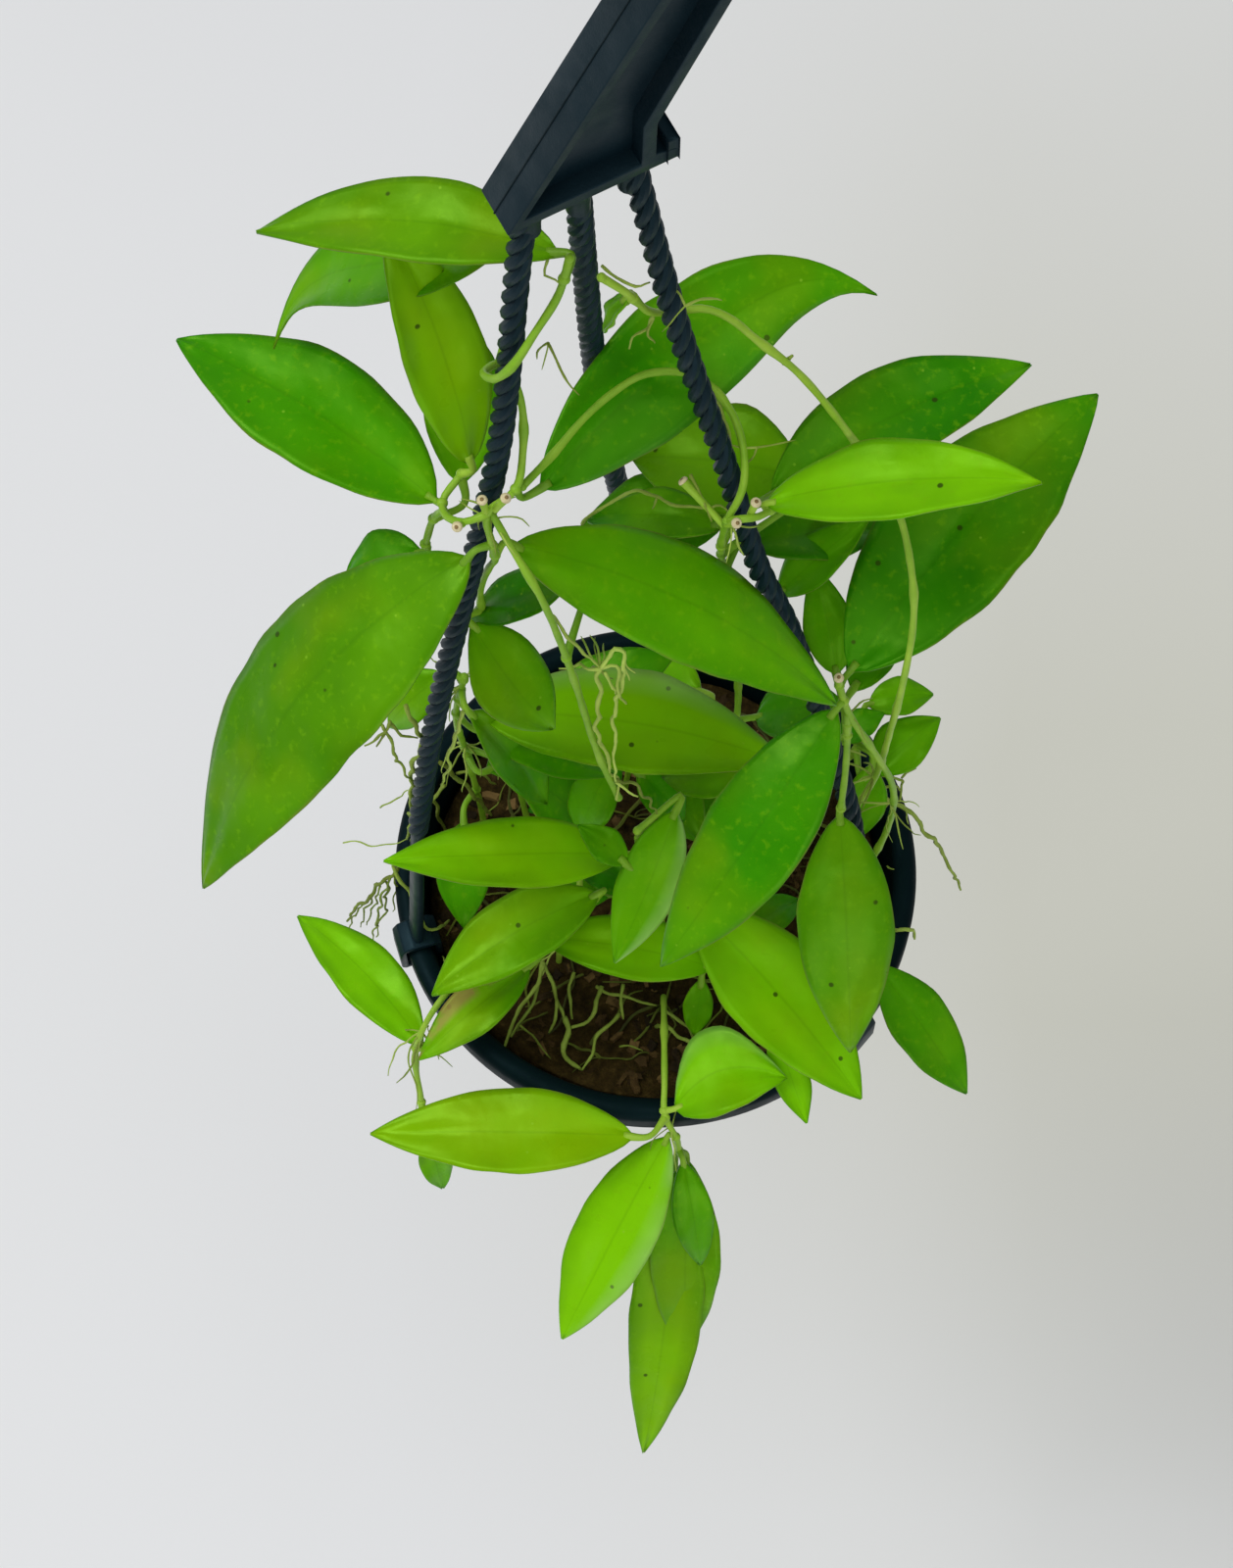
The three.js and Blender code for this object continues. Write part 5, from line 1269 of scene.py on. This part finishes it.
def mix_fill(steps):
    """The fill itself, spun to the pot's inside."""
    def wall(z):
        return min(pot_radius_at(z) - POT_WALL, RIM_INNER_RADIUS) - MIX_CLEARANCE
    floor = POT_FLOOR + MIX_CLEARANCE
    shoulder = MIX_TOP - 4
    outline = [
        (AXIS_GAP, floor), (wall(floor) - 0.4, floor), (wall(50) - 0.4, 50),
        (wall(shoulder) - 0.4, shoulder), (wall(shoulder) - 1.6, MIX_TOP - 0.5),
        *((radius, MIX_TOP) for radius in range(CHIP_REACH, 0, -2)), (AXIS_GAP, MIX_TOP),
    ]
    bm = spun(outline, steps)
    for vert in bm.verts:
        if vert.co.z > MIX_TOP - 1:
            vert.co.z = mix_height(vert.co.x, vert.co.y) - (MIX_TOP - vert.co.z)
    bmesh.ops.recalc_face_normals(bm, faces=bm.faces)
    return bm


def bark_chip(draw, x, y):
    """One splintery chip of bark, part sunk in the mix."""
    bm = bmesh.new()
    bmesh.ops.create_cube(bm, size=1)
    bmesh.ops.subdivide_edges(bm, edges=bm.edges[:], cuts=1, use_grid_fill=True)
    size = Vector((draw.uniform(1.6, 5.5), draw.uniform(1.2, 3.2), draw.uniform(0.7, 1.8)))
    for vert in bm.verts:
        jitter = Vector(draw.uniform(-0.14, 0.14) for _ in range(3))
        vert.co = vert.co * 0.86 + jitter
        vert.co = Vector(c * s for c, s in zip(vert.co, size))
    turn = Matrix.Rotation(draw.uniform(0, 2 * math.pi), 4, "Z")
    pitch = Matrix.Rotation(draw.uniform(-0.5, 0.5), 4, "X")
    roll = Matrix.Rotation(draw.uniform(-0.4, 0.4), 4, "Y")
    place = Matrix.Translation((x, y, mix_height(x, y) + draw.uniform(-0.6, 0.7)))
    bmesh.ops.transform(bm, matrix=place @ turn @ (pitch @ roll), verts=bm.verts)
    bmesh.ops.recalc_face_normals(bm, faces=bm.faces)
    return bm


def wandering(draw, start, heading, length, hug=None, sway=0.5, sink=0.0):
    """Points of a thin root that wanders off from start. hug gives the height it keeps to."""
    points = [Vector(start)]
    direction = Vector(heading).normalized()
    for _ in range(max(3, round(length / ROOT_STEP))):
        bend = Vector(draw.uniform(-sway, sway) for _ in range(3))
        direction = (direction + bend + Vector((0, 0, -sink))).normalized()
        point = points[-1] + direction * ROOT_STEP
        if hug is not None:
            if math.hypot(point.x, point.y) > RIM_INNER_RADIUS - 4:
                break
            point.z = hug(point.x, point.y) + draw.uniform(0.2, 1.6)
        points.append(point)
    return points


def root_tube(points, thick, taper=0.6, sway=0.0):
    """A knobbly root that thins towards its end and sways from its route."""
    route = smooth_route(points, 1.3)
    last = len(route) - 1
    for k, point in enumerate(route):
        held = min(1.0, k / 4, (last - k) / 4)
        swayed = noise.noise_vector(point * 0.16 + Vector((thick * 90, 0, 0)))
        route[k] = point + swayed * sway * held
    def radius_at(share):
        knob = 1 + 0.2 * math.sin(share * len(route) * 1.7) * math.sin(share * len(route) * 0.63)
        return thick * knob * (1 - taper * share ** 3)
    return tube(route, radius_at, 6)


def spot_on_mix(draw, radius, least=0.0):
    """A random place on top of the mix, spread evenly over a disc."""
    angle = draw.uniform(0, 2 * math.pi)
    reach = radius * math.sqrt(draw.uniform(least, 1))
    return reach * math.cos(angle), reach * math.sin(angle)


def make_mix(chips, roots, seed):
    """Bark mix with chips over it, and the pale roots that run across its top."""
    draw = random.Random(seed)
    piece = Piece("bark_mix", ["crumb", "bark", "root"])
    piece.add(mix_fill(120), "crumb")
    for _ in range(chips):
        chip = bark_chip(draw, *spot_on_mix(draw, CHIP_REACH))
        piece.add(chip, "bark", smooth=False, tone=draw.random())
    for _ in range(roots):
        x, y = spot_on_mix(draw, ROOT_REACH, 0.02)
        heading = (draw.uniform(-1, 1), draw.uniform(-1, 1), 0)
        points = wandering(draw, (x, y, mix_height(x, y)), heading, draw.uniform(12, 42), mix_height)
        if len(points) > 3:
            thick = draw.uniform(0.25, 0.55)
            piece.add(root_tube(points, thick), "root", tone=draw.uniform(0.0, 0.35))
    return piece.make("growing_mix", "bark_mix", smooth_degrees=50)


# Plant


def nearest_on(routes, point):
    """Place on the stems nearest to a leaf's stalk end."""
    return min((p for route in routes for p in route), key=lambda p: (p - point).length)


def blade_profile(share):
    """Share of a blade's half width along its length, blunt at the stalk and drawn to a point."""
    return math.sin(math.pi * share ** 0.88) ** 0.76 * (1 - 0.2 * share ** 5)


def leaf_blade(base, tip, width, shape, wave_phase, detail, thickness):
    """A waxy blade: a flat grid shaped along its midrib, doubled below and closed at the margin."""
    bow, sweep, crook = shape["bow"], shape.get("sweep", 0), shape.get("crook", 0)
    roll, fold = math.radians(shape.get("roll", 0)), shape.get("fold", 0.16)
    along = tip - base
    length = along.length
    along.normalize()
    side = UP.cross(along).normalized()
    side.rotate(Matrix.Rotation(roll, 3, along))
    face = along.cross(side)
    bm = bmesh.new()
    lengthwise = bm.verts.layers.float.new("along")
    crosswise = bm.verts.layers.float.new("across")
    rows = max(BLADE_ROWS, round(length / detail))
    bmesh.ops.create_grid(bm, x_segments=BLADE_COLUMNS, y_segments=rows, size=1)

    def place(share, across, below):
        arch = 4 * share * (1 - share)
        outer = 2.1 * share * share * (1 - share ** 8)
        half = max(0.3, blade_profile(min(1, max(0, share))) * width / 2)
        edge = abs(across)
        ragged = 1 + 0.05 * noise.noise(Vector((share * length * 0.11, across * 3, wave_phase * 5)))
        wave = BLADE_WAVE * math.sin(math.pi * 4.4 * share + wave_phase + 1.6 * across)
        lift = edge ** 1.35 * (fold * half + wave * half * 2 / width)
        groove = GROOVE_DEPTH * math.exp(-((across * half / GROOVE_REACH) ** 2))
        pillow = noise.noise(Vector((share * length * 0.07, across * 1.6, wave_phase * 3)))
        pillow *= PILLOW_HEIGHT * (1 - edge ** 4)
        body = EDGE_THICKNESS + thickness * (1 - edge ** 3) * min(1.0, half / 4)
        rib = RIB_HEIGHT * math.exp(-((across * half / RIB_REACH) ** 2)) * (1 - share)
        height = lift + pillow - groove
        height += -(body / 2 + rib) if below else body / 2
        return (base + along * (length * share) + face * (bow * arch + height)
                + side * (sweep * arch + crook * outer + across * half * ragged))

    for vert in bm.verts:
        vert[lengthwise] = (vert.co.y + 1) / 2
        vert[crosswise] = vert.co.x
    copied = bmesh.ops.duplicate(bm, geom=[*bm.verts, *bm.edges, *bm.faces])["geom"]
    lower = {g for g in copied if isinstance(g, bmesh.types.BMVert)}
    under_faces = [g for g in copied if isinstance(g, bmesh.types.BMFace)]
    for vert in bm.verts:
        vert.co = place(vert[lengthwise], vert[crosswise], vert in lower)
    for surface in under_faces:
        surface.material_index = 1
    bmesh.ops.reverse_faces(bm, faces=under_faces)
    bmesh.ops.bridge_loops(bm, edges=[e for e in bm.edges if e.is_boundary])
    bmesh.ops.recalc_face_normals(bm, faces=bm.faces)
    return bm, along


def leaf_stalk(start, base, along):
    """The short thick stalk between stem and blade."""
    reach = min(4, (base - start).length * 0.4)
    route = smooth_route([start, base - along * reach, base + along * STALK_SINK], 1)
    def radius_at(share):
        return STALK_RADIUS * (1.22 - 0.36 * math.sin(math.pi * min(1, share * 1.1)))
    return tube(route, radius_at, 10)


def stem_tube(route, seed):
    """A stem with a slight unevenness and a soft swelling now and then."""
    phase = seed * 1.7
    def radius_at(share):
        distance = share * len(route) * 2.0
        swell = max(0.0, math.sin(distance * 0.14 + phase)) ** 14
        return STEM_RADIUS * (0.94 + 0.05 * math.sin(distance * 0.5 + phase) + 0.28 * swell)
    return tube(route, radius_at, 10)


def stub_parts(piece, start, end):
    """An old flower stalk's stub: green below, with a corky cut end."""
    start, end = Vector(start), Vector(end)
    along = (end - start).normalized()
    route = smooth_route([start, end], 0.6)
    piece.add(tube(route, lambda share: STUB_RADIUS + 0.3 * share ** 3, 12), "stem", tone=0.75)
    cut = smooth_route([end - along * 0.2, end + along * 0.5], 0.15)
    piece.add(tube(cut, lambda share: 1.2 - 0.3 * share ** 2, 14), "scar", tone=0.8)
    pith = smooth_route([end + along * 0.3, end + along * 0.56], 0.13)
    piece.add(tube(pith, lambda share: 0.45, 10), "scar", tone=0.1)


def root_tuft(piece, draw, centre, count, length):
    """A tuft of short aerial roots round a stem."""
    for _ in range(count):
        heading = Vector((draw.uniform(-1, 1), draw.uniform(-1, 1), draw.uniform(-0.8, 0.3)))
        reach = draw.uniform(0.5, 1) * length
        points = wandering(draw, centre, heading, reach, sway=0.42, sink=0.3)
        thick, tone = draw.uniform(0.18, 0.32), draw.uniform(0.45, 0.85)
        piece.add(root_tube(points, thick), "root", tone=tone)


def make_shoot(name, number, detail, thickness):
    """One rooted shoot: its stems, stalks and leaves, old stubs and aerial roots."""
    shoot = SHOOTS[name]
    draw = random.Random(number * 17 + 5)
    # noise_vector would otherwise start from the clock, and the roots would sway anew in each run
    noise.seed_set(SWAY_SEED)
    piece = Piece(name + "_growth", ["leaf_top", "leaf_under", "stem", "root", "scar"])
    routes = []
    for points in shoot["stems"]:
        points = [Vector(p) for p in points]
        if points[0].z == STEM_FOOT:
            points.insert(1, points[0] + UP * 7)
        routes.append(smooth_route(points, 2))
    stem_tone = STEM_TONES[shoot["slot"]]
    for k, route in enumerate(routes):
        piece.add(stem_tube(route, number + k), "stem", tone=stem_tone)
        piece.add(ball(route[-1], (1, 1, 1.1)), "stem", tone=stem_tone)
    for index, (base, tip, width, shape) in enumerate(shoot["leaves"]):
        base, tip = Vector(base), Vector(tip)
        phase = number + 2.1 * index
        blade, along = leaf_blade(base, tip, width, shape, phase, detail, thickness)
        looks = {key: shape[key] for key in LOOKS if key in shape}
        piece.add(blade, "leaf_top", seed=phase * 0.37, **looks)
        start = nearest_on(routes, base)
        piece.add(leaf_stalk(start, base, along), "stem", tone=shape["tone"] * 0.5 + 0.25)
        piece.add(ball(start, (1.3, 1.3, 1.2)), "stem", tone=stem_tone)
    for start, end in shoot.get("stubs", []):
        stub_parts(piece, start, end)
    for thick, tone, points in AERIAL_ROOTS.get(name, []):
        root = root_tube([Vector(p) for p in points], thick, 0.45, ROOT_SWAY)
        piece.add(root, "root", tone=tone)
    for centre, count, length in TUFTS.get(name, []):
        root_tuft(piece, draw, centre, count, length)
    return piece.make(name, shoot["slot"])


# Stage


LIT_POINT = Vector((0, 0, 0.25))


def make_stage(looks):
    """Pale floor, soft studio lights and the photograph's camera."""
    bm = bmesh.new()
    bmesh.ops.create_grid(bm, x_segments=24, y_segments=24, size=4.0)
    bmesh.ops.translate(bm, vec=(0, 0, looks.floor_height), verts=bm.verts)
    mesh = mesh_of("floor", bm)
    mesh.materials.append(finish_of("floor"))
    floor = in_scene("floor", mesh)
    world = bpy.data.worlds.new("soft_room")
    bpy.context.scene.world = world
    world.use_nodes = True
    sky = world.node_tree.nodes["Background"]
    sky.inputs["Color"].default_value = (0.95, 0.97, 1.0, 1)
    sky.inputs["Strength"].default_value = looks.room_light
    lamps = [
        ("window_light", (-2.2, 0.2, 3.6), 2.2, looks.window_light),
        ("front_light", (0.5, -3.0, 1.5), 2.0, looks.window_light * 0.3),
        ("ceiling_light", (0.1, -0.5, 4.4), 3.0, looks.window_light * 0.43),
    ]
    for name, place, size, power in lamps:
        lamp = bpy.data.lights.new(name, "AREA")
        lamp.shape = "DISK"
        lamp.size = size
        lamp.energy = power
        light = in_scene(name, lamp)
        light.location = place
        light.rotation_euler = (LIT_POINT - Vector(place)).to_track_quat("-Z", "Y").to_euler()
    data = bpy.data.cameras.new("photo_camera")
    data.lens = looks.lens
    data.sensor_width = 36
    data.sensor_fit = "AUTO"
    data.dof.use_dof = False
    data.clip_start = 0.02
    camera = in_scene("photo_camera", data)
    camera.location = looks.camera_place
    camera.rotation_euler = (looks.camera_tilt, 0, 0)
    bpy.context.scene.camera = camera
    bpy.context.scene.view_settings.view_transform = "Standard"


# Settings that a user would change


class HoyaPot(bpy.types.PropertyGroup):
    """Looks of the pot."""
    steps: IntProperty(name="Steps", description="Faces round the pot", default=144, min=24, max=256)
    colour: FloatVectorProperty(
        name="Colour", description="Plastic of the pot", subtype="COLOR", size=3,
        min=0, max=1, default=(0.0012, 0.006, 0.007),
    )


class HoyaHanger(bpy.types.PropertyGroup):
    """Looks of the hanger."""
    pitch: FloatProperty(
        name="Twist Pitch", description="Millimetres of arm for one turn of its strands",
        default=16.2, min=6, max=30,
    )
    colour: FloatVectorProperty(
        name="Colour", description="Plastic of the hanger", subtype="COLOR", size=3,
        min=0, max=1, default=(0.003, 0.010, 0.015),
    )


class HoyaMix(bpy.types.PropertyGroup):
    """Looks of the growing mix."""
    chips: IntProperty(name="Chips", description="Chips of bark on top", default=460, min=0, max=900)
    roots: IntProperty(name="Roots", description="Roots across the top", default=75, min=0, max=200)
    seed: IntProperty(name="Seed", description="Seed of the chips and roots", default=11)


class HoyaLeaves(bpy.types.PropertyGroup):
    """Looks of the leaves."""
    detail: FloatProperty(
        name="Row Length", description="Millimetres of blade for each row of faces",
        default=2.4, min=1, max=10,
    )
    thickness: FloatProperty(
        name="Thickness", description="Millimetres that a blade is thicker than its margin",
        default=0.6, min=0.2, max=2,
    )
    deep: FloatVectorProperty(
        name="Deep", description="Oldest leaves", subtype="COLOR", size=3, min=0, max=1,
        default=(0.012, 0.190, 0.0003),
    )
    middle: FloatVectorProperty(
        name="Middle", description="Full-grown leaves", subtype="COLOR", size=3, min=0, max=1,
        default=(0.050, 0.295, 0.0004),
    )
    light: FloatVectorProperty(
        name="Light", description="Leaves that yellow in the sun", subtype="COLOR", size=3,
        min=0, max=1, default=(0.115, 0.395, 0.0006),
    )
    lime: FloatVectorProperty(
        name="Lime", description="Youngest leaves", subtype="COLOR", size=3, min=0, max=1,
        default=(0.200, 0.580, 0.001),
    )
    under: FloatVectorProperty(
        name="Underside", description="Undersides of the leaves", subtype="COLOR", size=3,
        min=0, max=1, default=(0.10, 0.24, 0.03),
    )


class HoyaStage(bpy.types.PropertyGroup):
    """The floor, lights and camera."""
    floor: FloatVectorProperty(
        name="Floor", description="Colour of the floor", subtype="COLOR", size=3,
        min=0, max=1, default=(0.87, 0.875, 0.88),
    )
    # Darker, warmer floor colour painted to the right of the pot as its shade
    floor_warm_shade: FloatVectorProperty(
        name="Floor Right", description="Colour of the floor to the right", subtype="COLOR", size=3,
        min=0, max=1, default=(0.69, 0.69, 0.61),
    )
    floor_height: FloatProperty(
        name="Floor Height", description="Height of the floor", subtype="DISTANCE", unit="LENGTH",
        default=-0.35,
    )
    room_light: FloatProperty(
        name="Room Light", description="Strength of the light all round", default=0.32,
    )
    window_light: FloatProperty(
        name="Window Light", description="Watts of the main light", default=80.0, min=0,
    )
    lens: FloatProperty(name="Lens", description="Focal length in millimetres", default=85.05)
    camera_place: FloatVectorProperty(
        name="Camera", description="Place of the camera", subtype="TRANSLATION", unit="LENGTH",
        size=3, default=(-0.0105, -0.323, 1.049),
    )
    camera_tilt: FloatProperty(
        name="Camera Tilt", description="Tilt of the camera from straight down", subtype="ANGLE",
        default=math.radians(20.26),
    )


# Operators


class HOYA_OT_make_pot(bpy.types.Operator):
    """Makes the pot"""
    bl_idname = "hoya.make_pot"
    bl_label = "Make Pot"

    def execute(self, context):
        make_pot(context.scene.hoya_pot.steps)
        return {"FINISHED"}


class HOYA_OT_make_hanger(bpy.types.Operator):
    """Makes the hanger with its hook, twisted arms and rim clips"""
    bl_idname = "hoya.make_hanger"
    bl_label = "Make Hanger"

    def execute(self, context):
        make_hanger(context.scene.hoya_hanger.pitch)
        return {"FINISHED"}


class HOYA_OT_make_mix(bpy.types.Operator):
    """Makes the bark mix and the roots across its top"""
    bl_idname = "hoya.make_mix"
    bl_label = "Make Growing Mix"

    def execute(self, context):
        looks = context.scene.hoya_mix
        make_mix(looks.chips, looks.roots, looks.seed)
        return {"FINISHED"}


class HOYA_OT_make_shoots(bpy.types.Operator):
    """Makes every shoot with its stems, leaves, stubs and aerial roots"""
    bl_idname = "hoya.make_shoots"
    bl_label = "Make Shoots"

    def execute(self, context):
        looks = context.scene.hoya_leaves
        for number, name in enumerate(SHOOTS):
            make_shoot(name, number, looks.detail, looks.thickness)
        return {"FINISHED"}


class HOYA_OT_make_stage(bpy.types.Operator):
    """Makes the floor, the lights and the camera"""
    bl_idname = "hoya.make_stage"
    bl_label = "Make Stage"

    def execute(self, context):
        make_stage(context.scene.hoya_stage)
        return {"FINISHED"}


OPERATORS = [
    HOYA_OT_make_pot, HOYA_OT_make_hanger, HOYA_OT_make_mix, HOYA_OT_make_shoots,
    HOYA_OT_make_stage,
]


class HOYA_PT_panel(bpy.types.Panel):
    """Lists the pieces and their settings"""
    bl_idname = "HOYA_PT_panel"
    bl_label = "Potted Hoya"
    bl_space_type = "VIEW_3D"
    bl_region_type = "UI"
    bl_category = "Hoya"

    def draw(self, context):
        for operator in OPERATORS:
            self.layout.operator(operator.bl_idname)
        for name in SETTINGS:
            looks = getattr(context.scene, name)
            box = self.layout.box()
            for prop in looks.bl_rna.properties:
                if prop.identifier not in ("rna_type", "name"):
                    box.prop(looks, prop.identifier)


SETTINGS = {
    "hoya_pot": HoyaPot,
    "hoya_hanger": HoyaHanger,
    "hoya_mix": HoyaMix,
    "hoya_leaves": HoyaLeaves,
    "hoya_stage": HoyaStage,
}


def register():
    for name, group in SETTINGS.items():
        bpy.utils.register_class(group)
        setattr(bpy.types.Scene, name, PointerProperty(type=group))
    for operator in OPERATORS:
        bpy.utils.register_class(operator)
    bpy.utils.register_class(HOYA_PT_panel)


def unregister():
    bpy.utils.unregister_class(HOYA_PT_panel)
    for operator in reversed(OPERATORS):
        bpy.utils.unregister_class(operator)
    for name, group in reversed(SETTINGS.items()):
        delattr(bpy.types.Scene, name)
        bpy.utils.unregister_class(group)


def main():
    register()
    bpy.ops.hoya.make_stage()
    bpy.ops.hoya.make_pot()
    bpy.ops.hoya.make_hanger()
    bpy.ops.hoya.make_mix()
    bpy.ops.hoya.make_shoots()


if __name__ == "__main__":
    main()
